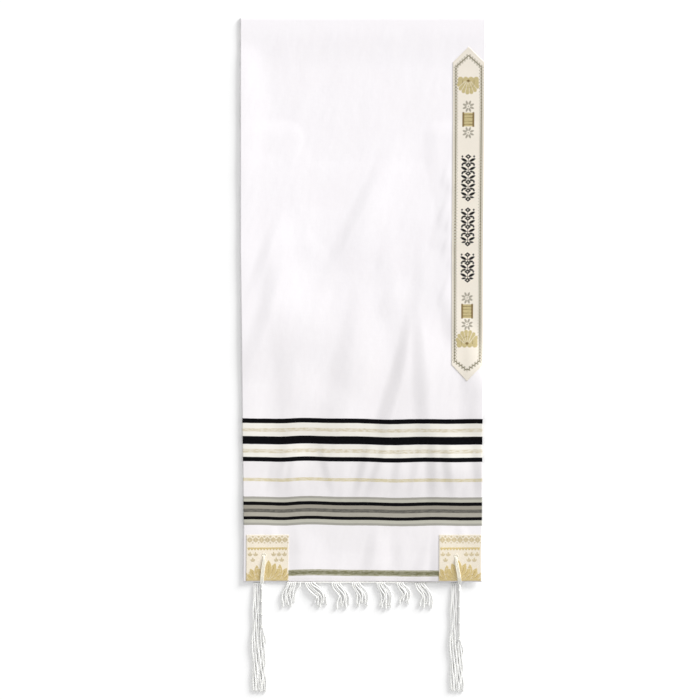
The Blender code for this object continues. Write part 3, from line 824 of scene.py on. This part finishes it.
def woven_motifs(made, ground, motifs, edge, painted_glint, gain, lift):
    """Lays motifs, as yarn colours and distances, over a ground. All but the dark yarn have a painted
    glint: a lighter copy of their colour in scattered spots.
    """
    colour, metal = ground, None
    for tone, distance in motifs:
        mask = made.step(distance, edge, -edge)
        yarn = COLOURS[tone]
        if tone != "band_dark":
            # Painted glint: a lighter copy of the yarn colour where the glint mask is set
            yarn = made.mix(painted_glint, yarn, tuple(min(1.0, c * gain + lift) for c in yarn))
            metal = mask if metal is None else made.larger(metal, mask)
        colour = made.mix(mask, colour, yarn)
    return colour, metal


def band_finish():
    """Cream woven band with gold, grey, brown and black yarn motifs."""
    made = Finish("cream_band", 0.62, Sheen_Weight=0.05, Specular_IOR_Level=0.16)
    across, along, place = made.cut()
    ground = made.streaks(place, 500.0, 120.0, 2.0)
    ground = made.mix(ground, COLOURS["band"], shaded(COLOURS["band"], (0.93, 0.93, 0.93)))
    wobble = made.scaled(made.noise(place, 900.0, 1.0), 0.0010, -0.0005)
    # Painted glint: where the band's metal yarns get a lighter copy of their colour
    painted_glint = made.step(made.streaks(place, 2600.0, 500.0, 1.0), 0.45, 0.7)
    above = made.larger(made.minus(along, BORDER_CORNERS[1]), 0.0)
    below = made.larger(made.minus(BORDER_CORNERS[0], along), 0.0)
    run = made.scaled(made.minus(above, below), BORDER_SLANT, along)
    dots = made.wave(run, BORDER_PITCH)
    away = made.attribute("line")
    bead = made.minus(away, made.scaled(dots, 0.0038, -0.0006))
    bead = made.math("MINIMUM", bead, made.minus(away, 0.0009))
    picot = made.plus(made.math("ABSOLUTE", made.minus(away, 0.0040)), made.scaled(dots, 0.0040, -0.0014))
    motifs = [("band_line", made.math("MINIMUM", bead, picot))]
    motifs += [(f"band_{name}", made.attribute(name)) for name in ("grey", "gold", "brown", "dark")]
    motifs = [(tone, made.plus(distance, wobble)) for tone, distance in motifs]
    colour, metal = woven_motifs(made, ground, motifs, 0.0004, painted_glint, 1.55, 0.02)
    ribs = made.wave(along, 0.0014)
    twill = made.wave(made.plus(across, made.times(along, 0.5)), 0.0018)
    return made.use(
        Base_Color=colour, Normal=made.bump(made.plus(ribs, twill), 0.00014, 0.7),
        Metallic=made.times(metal, 0.25), Roughness=made.scaled(metal, -0.22, 0.62),
    )


def satin_finish():
    """Cream satin with a brocade pattern in gold. The right side's patches have painted shade, a darker
    ground.
    """
    made = Finish("cream_satin", 0.46, Sheen_Weight=0.06, Specular_IOR_Level=0.30, Anisotropic=0.4)
    across, along, place = made.cut()
    satin = COLOURS["satin"]
    ground = made.streaks(place, 240.0, 60.0, 3.0)
    ground = made.mix(ground, satin, shaded(satin, (0.96, 0.93, 0.88)))
    # Painted shade: a darker ground on the right side's patches
    right = made.step(across, CLOTH_WIDTH / 2 - 0.01, CLOTH_WIDTH / 2 + 0.01)
    ground = made.mix(right, ground, shaded(satin, (0.91, 0.90, 0.88)))
    wobble = made.scaled(made.noise(place, 800.0, 1.0), 0.0012, -0.0006)
    # Painted glint: where the satin's metal yarns get a lighter copy of their colour
    painted_glint = made.step(made.streaks(place, 2200.0, 600.0, 1.0), 0.42, 0.68)
    motifs = [(f"satin_{name}", made.attribute(name)) for name in ("grey", "gold", "brown")]
    motifs = [(tone, made.plus(distance, wobble)) for tone, distance in motifs]
    colour, metal = woven_motifs(made, ground, motifs, 0.0005, painted_glint, 1.5, 0.03)
    floats = made.wave(made.plus(along, made.times(across, 0.35)), 0.0012)
    return made.use(
        Base_Color=colour, Normal=made.bump(made.plus(floats, made.times(metal, 1.4)), 0.00018, 0.7),
        Metallic=made.times(metal, 0.30), Roughness=made.scaled(metal, -0.08, 0.42),
    )


def yarn_finish(name, tone, roughness=0.85):
    """Off-white spun yarn with fine fibres, with a painted reflection of the gold satin: warmer where it
    lies over the hem.
    """
    made = Finish(name, roughness, Sheen_Weight=0.45, Sheen_Roughness=0.6, Specular_IOR_Level=0.1,
                  Subsurface_Weight=0.30, Subsurface_Radius=(1.0, 1.0, 0.95), Subsurface_Scale=0.0010)
    place = made.object_place()
    shade = made.noise(place, 260.0, 3.0)
    colour = made.mix(shade, tone, shaded(tone, (0.95, 0.95, 0.93)))
    # Painted reflection of the gold satin: the yarn is warmer where it lies over the hem
    over_hem = made.step(made.split(place)["Y"], HEM_Y - 0.006, HEM_Y + 0.010)
    colour = made.mix(over_hem, colour, shaded(tone, (0.97, 0.925, 0.80)))
    fibres = made.streaks(place, 2400.0, 500.0, 2.0, z=2400.0)
    return made.use(Base_Color=colour, Normal=made.bump(fibres, 0.00015, 0.7))


# Pieces


def cloth(finish):
    """The woven rectangle: one wall with its far end folded under."""
    across = stations((0.0, 0.004, CLOTH_WIDTH - 0.004, CLOTH_WIDTH), 0.0038)
    upper = stations((0.0, 0.003, 0.300, 0.440, UPPER_LENGTH - 0.03, UPPER_LENGTH), 0.0068)
    arc = UPPER_LENGTH + FOLD_ARC * np.arange(1, 9) / 8
    under = stations((arc[-1], CLOTH_LENGTH - 0.16, CLOTH_LENGTH), 0.03)[1:]
    along = np.concatenate([upper, arc, under])
    s, u = np.meshgrid(along, across, indexing="ij")
    points = cloth_points(u, s)
    piece = new_piece(
        "cloth", points.reshape(-1, 3), grid_faces(*s.shape), finish, "body_cloth"
    )
    set_cut_map(piece, u, s)
    x, y = points[..., 0], points[..., 1]
    sag = 0.0034 * smooth((x + 0.30) / 0.60) + 0.0018 * np.exp(-(((x + 0.196) / 0.035) ** 2))
    wave = 0.0009 * np.sin(x * 17.0 + 0.6) + 0.0006 * np.sin(x * 41.0 + y * 6.0)
    sag = sag + wave * (0.4 + 0.6 * smooth((s - 0.04) / 0.08))
    set_values(piece, "from_end", np.minimum(s, CLOTH_LENGTH - s) + sag)
    thicken(piece, WALL, 0.0)
    return piece


def sewn_on(name, across, along, keep, thickness, finish, node):
    """A flat piece on the cloth's face, whose points outside the outline are drawn back to it."""
    s, u = np.meshgrid(along, across, indexing="ij")
    s = keep(u, s)
    points = raised(u, s, SEAM_GAP)
    piece = new_piece(name, points.reshape(-1, 3), grid_faces(*s.shape), finish, node)
    set_cut_map(piece, u, s)
    thicken(piece, thickness, 1.0)
    return piece, u, s


def band_border(u, s):
    """Distance from the band's dotted line, whose two ends are pointed."""
    middle = ATARAH_WIDTH / 2
    left, right = BORDER_INSET, ATARAH_WIDTH - BORDER_INSET
    (low, high), (bottom, top) = BORDER_CORNERS, BORDER_TIPS
    corners = ((left, low), (left, high), (middle, top), (right, high), (right, low), (middle, bottom))
    return join(*(bar(u, s, start, end, 0.0) for start, end in sides_of(corners)))


def band_vine(u, s):
    """A dark woven vine in three lengths: a chain of lozenges with a pair of leaves between them."""
    middle = ATARAH_WIDTH / 2
    shape = np.full(u.shape, 1.0)
    for vine in rows_of(VINE_COLUMNS, VINES):
        for k in range(vine["links"]):
            cs = vine["start"] - k * VINE_PITCH
            hole = lozenge(u, s, middle, cs, 0.0026, 0.0018)
            shape = join(shape, without(lozenge(u, s, middle, cs, 0.0080, 0.0062), hole))
            if k == vine["links"] - 1:
                break
            low = cs - VINE_PITCH / 2
            stem = ((middle, cs - 0.006), (middle, cs - VINE_PITCH + 0.006))
            shape = join(shape, bar(u, s, *stem, 0.0007))
            for side in (-1.0, 1.0):
                base, tip = (middle + side * 0.0016, low - 0.0020), (middle + side * 0.0186, low + 0.0062)
                small = (middle + side * 0.0030, low - 0.0050), (middle + side * 0.0160, low - 0.0070)
                shape = join(shape, leaf(u, s, base, tip, 0.0066), leaf(u, s, *small, 0.0048),
                             disc(u, s, middle + side * 0.0146, cs + 0.0004, 0.0025))
    return shape


def shell_fan(u, v, middle):
    """A shell with a lobed rim, cut by ribs, and the small ornament on it."""
    rim = [math.radians(angle) for angle in range(-168, 0, 24)]
    shell = np.maximum(disc(u, v, middle, 0.004, 0.0262), v - 0.0125)
    lobes = [disc(u, v, middle + d, 0.0125, 0.0068) for d in (-0.0195, -0.0065, 0.0065, 0.0195)]
    lobes += [disc(u, v, *around(middle, 0.004, 0.0245, a), 0.0048) for a in rim]
    turns = [a + 0.21 for a in rim[:-1]]
    ribs = join(*(bar(u, v, around(middle, 0.012, 0.007, a), around(middle, 0.004, 0.0265, a), 0.0006)
                  for a in turns))
    ring = without(disc(u, v, middle, 0.006, 0.0150), disc(u, v, middle, 0.006, 0.0138))
    small = join(np.maximum(ring, v - 0.012), lozenge(u, v, middle, 0.009, 0.0050, 0.0040))
    return without(join(shell, *lobes), ribs), small


def band_motifs(u, s):
    """The band's woven motifs, by yarn colour."""
    middle = 0.0389
    gold, brown, grey = (np.full(u.shape, 1.0) for _ in range(3))
    for centre, way in ((1.240, 1.0), (0.603, -1.0)):
        shell, small = shell_fan(u, (s - centre) * way, middle)
        gold, brown = join(gold, shell), join(brown, small)
    for centre in (1.1525, 0.6745):
        gold = join(gold, block(u, s, middle, centre, 0.0105, 0.0172))
        for way in (-1.0, 1.0):
            cs = centre + way * 0.0330
            for k in range(8):
                turn = math.pi * (k + 0.5) / 4
                petal = around(middle, cs, 0.0036, turn), around(middle, cs, 0.0158, turn)
                grey = join(grey, leaf(u, s, *petal, 0.0052))
            grey = join(grey, disc(u, s, middle, cs, 0.0018))
            brown = join(
                brown,
                block(u, s, middle + way * 0.0126, centre, 0.0024, 0.0185),
                block(u, s, middle, centre + way * 0.0120, 0.0110, 0.0010),
                block(u, s, middle, centre + way * 0.0046, 0.0110, 0.0008),
            )
    return {"line": band_border(u, s), "grey": grey, "gold": gold, "brown": brown, "dark": band_vine(u, s)}


def atarah(finish):
    """The neckband, whose two ends are pointed."""
    middle = ATARAH_LEFT + ATARAH_WIDTH / 2

    def pointed(u, s):
        off = np.clip(1.0 - np.abs(u - middle) / (ATARAH_WIDTH / 2), 0.0, 1.0)
        low = ATARAH_SHOULDERS[0] + (ATARAH_TIPS[0] - ATARAH_SHOULDERS[0]) * off
        high = ATARAH_SHOULDERS[1] + (ATARAH_TIPS[1] - ATARAH_SHOULDERS[1]) * off
        share = (s - ATARAH_TIPS[0]) / (ATARAH_TIPS[1] - ATARAH_TIPS[0])
        return low + (high - low) * share

    stops = (0.0, BORDER_INSET, ATARAH_WIDTH / 2, ATARAH_WIDTH - BORDER_INSET, ATARAH_WIDTH)
    across = ATARAH_LEFT + stations(stops, 0.00154)
    along = stations(ATARAH_TIPS, 0.0017)
    piece, u, s = sewn_on("neckband", across, along, pointed, ATARAH_WALL, finish, "atarah")
    for name, values in band_motifs(u - ATARAH_LEFT, s).items():
        set_values(piece, name, values)
    return piece


def petals_of(cu, cs, size, count, spread):
    """Base, tip and width of the petals of a flower seen from its side, from its rim to its middle."""
    petals = []
    for k in sorted(range(count), key=lambda k: -abs(k - (count - 1) / 2)):
        share = k / (count - 1) * 2 - 1
        turn = math.radians(90 + spread * share)
        reach = size * (1.0 - 0.24 * abs(share))
        petals.append((around(cu, cs, size * 0.06, turn), around(cu, cs, reach, turn), size * 0.34))
    return petals


def flower_row(u, s, side):
    """A row of small flowers with lozenges between them, and the bar across each flower."""
    grey, brown = np.full(u.shape, 1.0), np.full(u.shape, 1.0)
    for k in range(7):
        cu = 0.0090 + k * FLOWER_PITCH
        tall = 0.0072 if (k + (side == "left")) % 3 else 0.0088
        petals = lozenge(u, s, cu, FLOWER_ROW, 0.0082, tall)
        flower = join(petals, block(u, s, cu, FLOWER_ROW, 0.0054, 0.0042))
        grey = join(
            grey,
            without(flower, lozenge(u, s, cu, FLOWER_ROW, 0.0014, 0.0026)),
            lozenge(u, s, cu + FLOWER_PITCH / 2, 0.1122, 0.0040, 0.0028),
            lozenge(u, s, cu + FLOWER_PITCH / 2, 0.0972, 0.0030, 0.0022),
        )
        brown = join(brown, bar(u, s, (cu - 0.0040, FLOWER_ROW), (cu + 0.0040, FLOWER_ROW), 0.0006))
    return grey, brown


def patch_motifs(u, s, side):
    """A row of small flowers, a scalloped line, sprigs and a mound of palmettes, by yarn colour."""
    half = PATCH_WIDTH / 2
    middle = PATCH_WIDTH * (0.53 if side == "left" else 0.47)
    grey, brown = flower_row(u, s, side)
    gold = block(u, s, half, SCALLOP_ROW, 0.0510, 0.0017)
    for k in range(13):
        gold = join(gold, disc(u, s, 0.0066 + k * SCALLOP_PITCH, SCALLOP_ROW - 0.0026, 0.0027))
    for cu, cs in SPRIGS:
        for petal in petals_of(cu, cs - 0.0030, 0.0125, 3, 38):
            grey = join(grey, leaf(u, s, *petal))
    for plan in rows_of(PALMETTE_COLUMNS, PALMETTES):
        place = middle + plan["shift"], plan["up"]
        for base, tip, width in petals_of(*place, plan["size"], plan["petals"], plan["spread"]):
            petal = leaf(u, s, base, tip, width)
            gold = join(without(gold, petal - 0.0010), petal)
            vein = [b + (t - b) * f for f in (0.30, 0.72) for b, t in zip(base, tip)]
            brown = join(without(brown, petal), bar(u, s, vein[:2], vein[2:], 0.0008))
    gold = join(gold, block(u, s, half, 0.0048, 0.0515, 0.0022))
    return {"grey": grey, "gold": gold, "brown": brown}


def corner_patches(finish):
    """The satin pieces on the four corners, finer on the two that show."""
    made = []
    for end in ("hem", "far"):
        for side, across in (("left", PATCH_LEFT), ("right", PATCH_RIGHT)):
            rows = (PATCH_HEM, PATCH_LENGTH)
            if end == "far":
                rows = (CLOTH_LENGTH - PATCH_LENGTH, CLOTH_LENGTH - PATCH_HEM)
            step = 0.0013 if end == "hem" else 0.0060
            piece, u, s = sewn_on(
                f"patch_{end}_{side}", stations(across, step), stations(rows, step), lambda u, s: s,
                PATCH_WALL, finish, f"corner_patch_{end}_{side}",
            )
            from_end = np.minimum(s, CLOTH_LENGTH - s)
            for name, values in patch_motifs(u - across[0], from_end, side).items():
                set_values(piece, name, values)
            made.append(piece)
    return made


def cord_path(points, step=0.004):
    """A smooth path through points, as many places along it as its length needs."""
    points = np.asarray(points, float)
    lengths = lengths_of(points)
    count = max(4, int(lengths[-1] / step))
    even = np.linspace(0.0, lengths[-1], count + 1)
    slopes = np.gradient(points, lengths, axis=0)
    place = np.clip(np.searchsorted(lengths, even, side="right") - 1, 0, len(points) - 2)
    width = lengths[place + 1] - lengths[place]
    t = ((even - lengths[place]) / width)[:, None]
    a, b = points[place], points[place + 1]
    da, db = slopes[place] * width[:, None], slopes[place + 1] * width[:, None]
    return (
        (2 * t**3 - 3 * t**2 + 1) * a + (t**3 - 2 * t**2 + t) * da
        + (-2 * t**3 + 3 * t**2) * b + (t**3 - t**2) * db
    )


def strand_path(plan, strand, count):
    """The line of one tassel strand."""
    head_x, head_y = plan["top"]
    rest_z = (STRAND_REST if plan["eyelet"] else plan["strand"]) + TASSEL_CLEAR
    head_z = plan["knot"] + TASSEL_CLEAR
    pitch = (plan["right"] - plan["left"] - 2 * plan["strand"]) / (TASSEL_STRANDS - 1)
    wound = TASSEL_STRANDS - plan["loose"]
    end_x = plan["left"] + plan["strand"] + pitch * strand
    end_y = plan["end"] + 0.0045 * (0.5 + 0.5 * math.sin(2.4 * strand + 1.0)) + 0.0002
    if strand < plan["loose"]:
        start = (head_x - plan["cord"] - (plan["loose"] - strand - 0.25) * pitch, head_y - 0.001, rest_z)
    else:
        fan = strand - plan["loose"] - (wound - 1) / 2
        spread = 2 * (plan["knot"] - 0.0013) / wound
        start = (head_x + fan * spread, plan["toe"] + 0.001, head_z)
    t = np.linspace(0.0, 1.0, count)
    settle = smooth(t * (2.2 if strand < plan["loose"] else 4.0))
    sway = 0.0016 * np.sin(2 * math.pi * t * 1.3 + 0.6) * t
    sway = sway + 0.0011 * np.sin(2 * math.pi * (t * 3.1 + 0.37 * strand)) * smooth(t * 5.0)
    x = start[0] + (end_x - start[0]) * settle + sway
    y = start[1] + (end_y - start[1]) * t
    z = start[2] + (rest_z - start[2]) * settle
    wave = 0.0007 * (1.0 + np.sin(2 * math.pi * (t * 2.3 + 0.29 * strand)))
    z = z + wave * smooth(t * 4.0) * smooth((1 - t) * 6.0)
    return np.stack([x, y, z], axis=-1)


def turned(x, y, z, radius, angle):
    """Places round a line along Y."""
    return np.stack([x + radius * np.cos(angle), y, z + radius * np.sin(angle)], axis=-1)


def wound_head(shapes, plan, fine):
    """A tassel's head: a core, thread wound round it between the knots, and the knots."""
    x, y = plan["top"]
    height = plan["knot"] + TASSEL_CLEAR
    length = y - plan["toe"]
    core = [(x, y - length * k / 20, height) for k in range(21)]
    shapes.tube(core, plan["cord"] * 0.72, 8)
    centres = [y - length * (knot + 0.35) / (KNOTS - 0.65) for knot in range(KNOTS)]
    if not fine:
        for centre in centres:
            bulge = [(x, centre + d, height) for d in (0.005, 0.003, 0.0, -0.003, -0.005)]
            shapes.tube(bulge, np.array([0.7, 0.96, 1.0, 0.96, 0.7]) * plan["knot"], 8)
        return
    stops = [y - 0.001] + centres
    thread, wound = 0.00085, plan["cord"] - 0.0007
    for top, bottom in zip(stops, stops[1:]):
        top, bottom = top - 0.0035, bottom + 0.0035
        turns = max(1.0, (top - bottom) / 0.0016)
        t = np.linspace(0.0, 1.0, int(turns * 10) + 1)
        path = turned(x, top + (bottom - top) * t, height, wound, t * turns * 2 * math.pi)
        shapes.tube(path, thread, 5, (0.0, 1.0, 0.0))
    ring = plan["knot"] - 0.0014
    for number, centre in enumerate(centres):
        angle = np.linspace(0.0, 1.0, 37) * 2 * math.pi + number
        for shift, lean in ((0.0017, 0.0016), (-0.0017, -0.0016)):
            path = turned(x, centre + shift + lean * np.sin(angle + 1.0), height, ring, angle)
            shapes.tube(path, KNOT_CORD, 6, (0.0, 1.0, 0.0))


def loop_cords(shapes, plan):
    """Three cords side by side, from the eyelet over the patch and the hem to the tassel's head."""
    eye_x, eye_y = plan["eyelet"]
    head_x, head_y = plan["top"]
    for number in (-1, 0, 1):
        points = []
        for k in range(10):
            t = k / 9
            reach = 1.03 * t
            shift = number * CORDS_APART * (0.25 + 0.75 * float(smooth(t / 0.35)))
            x = eye_x + (head_x - eye_x) * float(smooth(reach)) + shift
            y = eye_y + (head_y - eye_y) * reach
            across, along = cut_place(x, y)
            over = SEAM_GAP + PATCH_WALL + 0.0019 + 0.0004 * math.sin(math.pi * t)
            z = float(raised(np.array([across]), np.array([max(0.001, along)]), over)[0, 2])
            if k == 0:
                z -= 0.0040
            if y < HEM_Y + 0.004:
                z = z + (plan["knot"] + TASSEL_CLEAR - z) * min(1.0, (HEM_Y + 0.004 - y) / 0.008)
            points.append((x, y, z))
        shapes.yarn(cord_path(points, 0.003), 0.0017, 0.0090, turn=number * 1.1)


def tassel(plan, finish):
    """A corner tassel: its wound head and strands, and the cords of one that shows."""
    fine = plan["eyelet"] is not None
    shapes = Shapes()
    wound_head(shapes, plan, fine)
    for strand in range(TASSEL_STRANDS):
        if fine:
            path = strand_path(plan, strand, 60)
            radius = np.interp(np.linspace(0, 1, 60), (0.0, 0.06, 1.0), (0.0015, 0.0024, STRAND_REST))
            shapes.yarn(path, radius, 0.0120 + 0.0006 * (strand % 3), turn=1.7 * strand, loosen=0.7)
        else:
            shapes.tube(strand_path(plan, strand, 24), plan["strand"], 6)
    if fine:
        loop_cords(shapes, plan)
        head_x, head_y = plan["top"]
        bar_end = head_x - plan["cord"] - plan["loose"] * 0.0046
        root = [(bar_end, head_y, 0.0028), (head_x - 0.004, head_y, 0.0034), (head_x, head_y, 0.0040)]
        shapes.yarn(cord_path(root, 0.002), 0.0019, 0.006)
    return shapes.piece(plan["name"] + "_yarn", finish, "thread", plan["name"])


def cluster_line(cluster, t):
    """The middle line of one cluster of fringe, from its root at 0 to its tip at 1."""
    lean = (cluster["tip"] - cluster["root"]) * smooth(t * 1.3)
    bow = cluster["sway"] * np.sin(math.pi * np.minimum(1.0, t * 1.15)) ** 2
    return cluster["root"] + lean + bow, -FRINGE_STRIP / 2 - cluster["reach"] * t


def fringe(name, hem_y, mirror, finish, node, fine):
    """The hem's fringe: twisted strands that grow from a corded edge just off the cloth."""
    shapes = Shapes()
    middle = (PATCH_LEFT[1] + PATCH_RIGHT[0]) / 2 - HALF_WIDTH
    half = ((PATCH_RIGHT[0] - PATCH_LEFT[1]) * 0.97 + 0.004) / 2
    edge_z = (FRINGE_STRAND if fine else FAR_FRINGE_STRAND) + TASSEL_CLEAR
    lift = edge_z + (0.0022 if fine else 0.0)
    xs = np.linspace(middle - half, middle + half, 60)
    ys = np.full_like(xs, hem_y - FRINGE_STRIP / 2 - 0.0001)
    edge = np.stack([mirror * xs, ys, np.full_like(xs, lift)], axis=-1)
    if fine:
        shapes.yarn(edge, 0.00160, 0.0080)
    else:
        shapes.tube(edge, FAR_FRINGE_STRAND, 6)
    for number, cluster in enumerate(rows_of(CLUSTER_COLUMNS, CLUSTERS)):
        strands = cluster["strands"] + (2 if fine and cluster["strands"] > 1 else 0)
        for strand in range(strands):
            side = strand - (strands - 1) / 2
            reach = 1.0 - 0.07 * ((strand * 2 + number) % 3)
            t = np.linspace(0.0, reach, 26 if fine else 10)
            x, y = cluster_line(cluster, t)
            x2, y2 = cluster_line(cluster, t + 0.01)
            ahead = np.stack([x2 - x, y2 - y], axis=-1)
            ahead /= np.linalg.norm(ahead, axis=1, keepdims=True)
            off = side * (0.0044 + 0.0030 * t if fine else 0.0030 + 0.0012 * t)
            z = np.full_like(x, edge_z)
            if fine:
                curl = np.sin(2 * math.pi * (t * 1.4 + 0.23 * number + 0.4 * strand))
                off = off + 0.0014 * curl * smooth(t * 3.0)
                arch = 0.0016 * np.sin(math.pi * np.clip(t / reach, 0, 1))
                z = lift + (0.0031 - lift) * smooth(t * 2.0)
                z = z + arch * (0.6 + 0.4 * math.sin(2.1 * strand + number))
            x, y = x - ahead[:, 1] * off, y + ahead[:, 0] * off
            path = np.stack([mirror * x, hem_y + y, z], axis=-1)
            if fine:
                pitch = 0.0110 + 0.0008 * (strand % 2)
                shapes.yarn(path, 0.0024, pitch, turn=2.3 * strand + number, loosen=1.0)
            else:
                shapes.tube(path, FAR_FRINGE_STRAND, 5)
    return shapes.piece(name, finish, "thread", node)


def stitch_line(shapes, start, end, pitch, height):
    """Short stitches along a straight line on the cut, in distances across and along."""
    start, end = np.array(start), np.array(end)
    length = float(np.hypot(*(end - start)))
    count = int(length / pitch)
    centres = (np.arange(count) + 0.5) * length / count
    reach = np.array([-0.36, -0.18, 0.0, 0.18, 0.36]) * pitch
    sink = np.array([-0.00030, -0.00004, 0.00004, -0.00004, -0.00030])
    places = start + (centres[:, None, None] + reach[None, :, None]) * (end - start) / length
    points = raised(places[..., 0], places[..., 1], height)
    points = points + cloth_normals(places[..., 0], places[..., 1]) * sink[None, :, None]
    for stitch in points:
        shapes.tube(stitch, 0.00030, 4)


def stitching(finish):
    """The stitches that hold the neckband, the patches and the hem."""
    band, patches, hem = Shapes(), Shapes(), Shapes()
    over = SEAM_GAP + ATARAH_WALL
    inset = 0.0022
    left, right = ATARAH_LEFT + inset, ATARAH_LEFT + ATARAH_WIDTH - inset
    middle = ATARAH_LEFT + ATARAH_WIDTH / 2
    low, high = ATARAH_SHOULDERS[0] + 0.001, ATARAH_SHOULDERS[1] - 0.001
    top, bottom = ATARAH_TIPS[1] - inset * 1.4, ATARAH_TIPS[0] + inset * 1.4
    corners = [(left, low), (left, high), (middle, top), (right, high), (right, low), (middle, bottom)]
    for side in sides_of(corners):
        stitch_line(band, *side, 0.0036, over)
    band.piece("neckband_stitches", finish, "thread")
    for across in (PATCH_LEFT, PATCH_RIGHT):
        a, b = across[0] + 0.0020, across[1] - 0.0020
        c, d = PATCH_HEM + 0.0020, PATCH_LENGTH - 0.0020
        ring = [(a, c), (a, d), (b, d), (b, c)]
        for side in sides_of(ring):
            stitch_line(patches, *side, 0.0034, SEAM_GAP + PATCH_WALL)
    patches.piece("patch_stitches", finish, "thread")
    stitch_line(hem, (PATCH_LEFT[1] + 0.003, 0.0075), (PATCH_RIGHT[0] - 0.003, 0.0075), 0.0038, 0.0)
    hem.piece("hem_stitches", finish, "thread")


def eyelets(finish):
    """A ring of buttonhole stitches round each corner's hole."""
    shapes = Shapes()
    for plan in rows_of(TASSEL_COLUMNS, TASSELS):
        if not plan["eyelet"]:
            continue
        across, along = cut_place(*plan["eyelet"])
        for k in range(EYELET_STITCHES):
            angle = 2 * math.pi * k / EYELET_STITCHES
            reach = np.array([0.0030, 0.0042, 0.0054, 0.0062])
            points = raised(*around(across, along, reach, angle), SEAM_GAP + PATCH_WALL)
            points[:, 2] += np.array([-0.0001, 0.0004, 0.0003, -0.0003])
            shapes.tube(points, 0.00042, 4)
    return shapes.piece("eyelets", finish, "thread")


# The stage


def stage():
    """A plain pale floor, soft light from the upper right and a camera straight above."""
    world = bpy.data.worlds.new("studio")
    bpy.context.scene.world = world
    world.use_nodes = True
    background = world.node_tree.nodes["Background"]
    background.inputs["Color"].default_value = (1.0, 1.0, 1.0, 1.0)
    background.inputs["Strength"].default_value = WORLD_LIGHT

    made = Finish("floor_paint", 0.95, Specular_IOR_Level=0.0)
    grain = made.noise(made.object_place(), 40.0, 3.0)
    made.use(Base_Color=made.mix(grain, (1.0, 1.0, 1.0), (0.99, 0.99, 0.99)))
    data = bpy.data.meshes.new("floor")
    corners = [(x * FLOOR_REACH, y * FLOOR_REACH, 0.0) for x, y in ((-1, -1), (1, -1), (1, 1), (-1, 1))]
    data.from_pydata(corners, [], [(0, 1, 2, 3)])
    data.materials.append(made.material)
    placed("floor", data)

    for light in rows_of(LIGHT_COLUMNS, LIGHTS):
        elevation, azimuth = math.radians(light["elevation"]), math.radians(light["azimuth"])
        lamp = bpy.data.lights.new(light["name"], "SUN")
        lamp.energy = light["share"] * math.pi / math.sin(elevation)
        lamp.angle = math.radians(light["width"])
        lit = placed(light["name"], lamp)
        flat = math.cos(elevation)
        source = Vector((flat * math.cos(azimuth), flat * math.sin(azimuth), math.sin(elevation)))
        lit.rotation_mode = "QUATERNION"
        lit.rotation_quaternion = source.to_track_quat("Z", "Y")

    camera = bpy.data.cameras.new("camera")
    camera.lens, camera.sensor_width = CAMERA_LENS, CAMERA_SENSOR
    camera.clip_start, camera.clip_end = 0.05, 60.0
    shot = placed("camera", camera)
    shot.location = (*CAMERA_PLACE, CAMERA_VIEW * CAMERA_LENS / CAMERA_SENSOR)
    bpy.context.scene.camera = shot
    bpy.context.scene.view_settings.view_transform = "Standard"
    bpy.context.scene.view_settings.look = "None"


def main():
    """Makes the pieces and the stage."""
    wool = cloth_finish()
    band, satin = band_finish(), satin_finish()
    yarn = yarn_finish("white_yarn", COLOURS["yarn"])
    sewing = yarn_finish("sewing_thread", COLOURS["sewing"], 0.6)
    body = cloth(wool)
    collar = atarah(band)
    patches = corner_patches(satin)
    for plan in rows_of(TASSEL_COLUMNS, TASSELS):
        tassel(plan, yarn)
    fringe("hem_fringe", HEM_Y, 1, yarn, "fringe_hem", True)
    fringe("far_fringe", FAR_END_Y, -1, yarn, "fringe_far", False)
    stitching(sewing)
    eyelets(yarn)
    stage()


main()
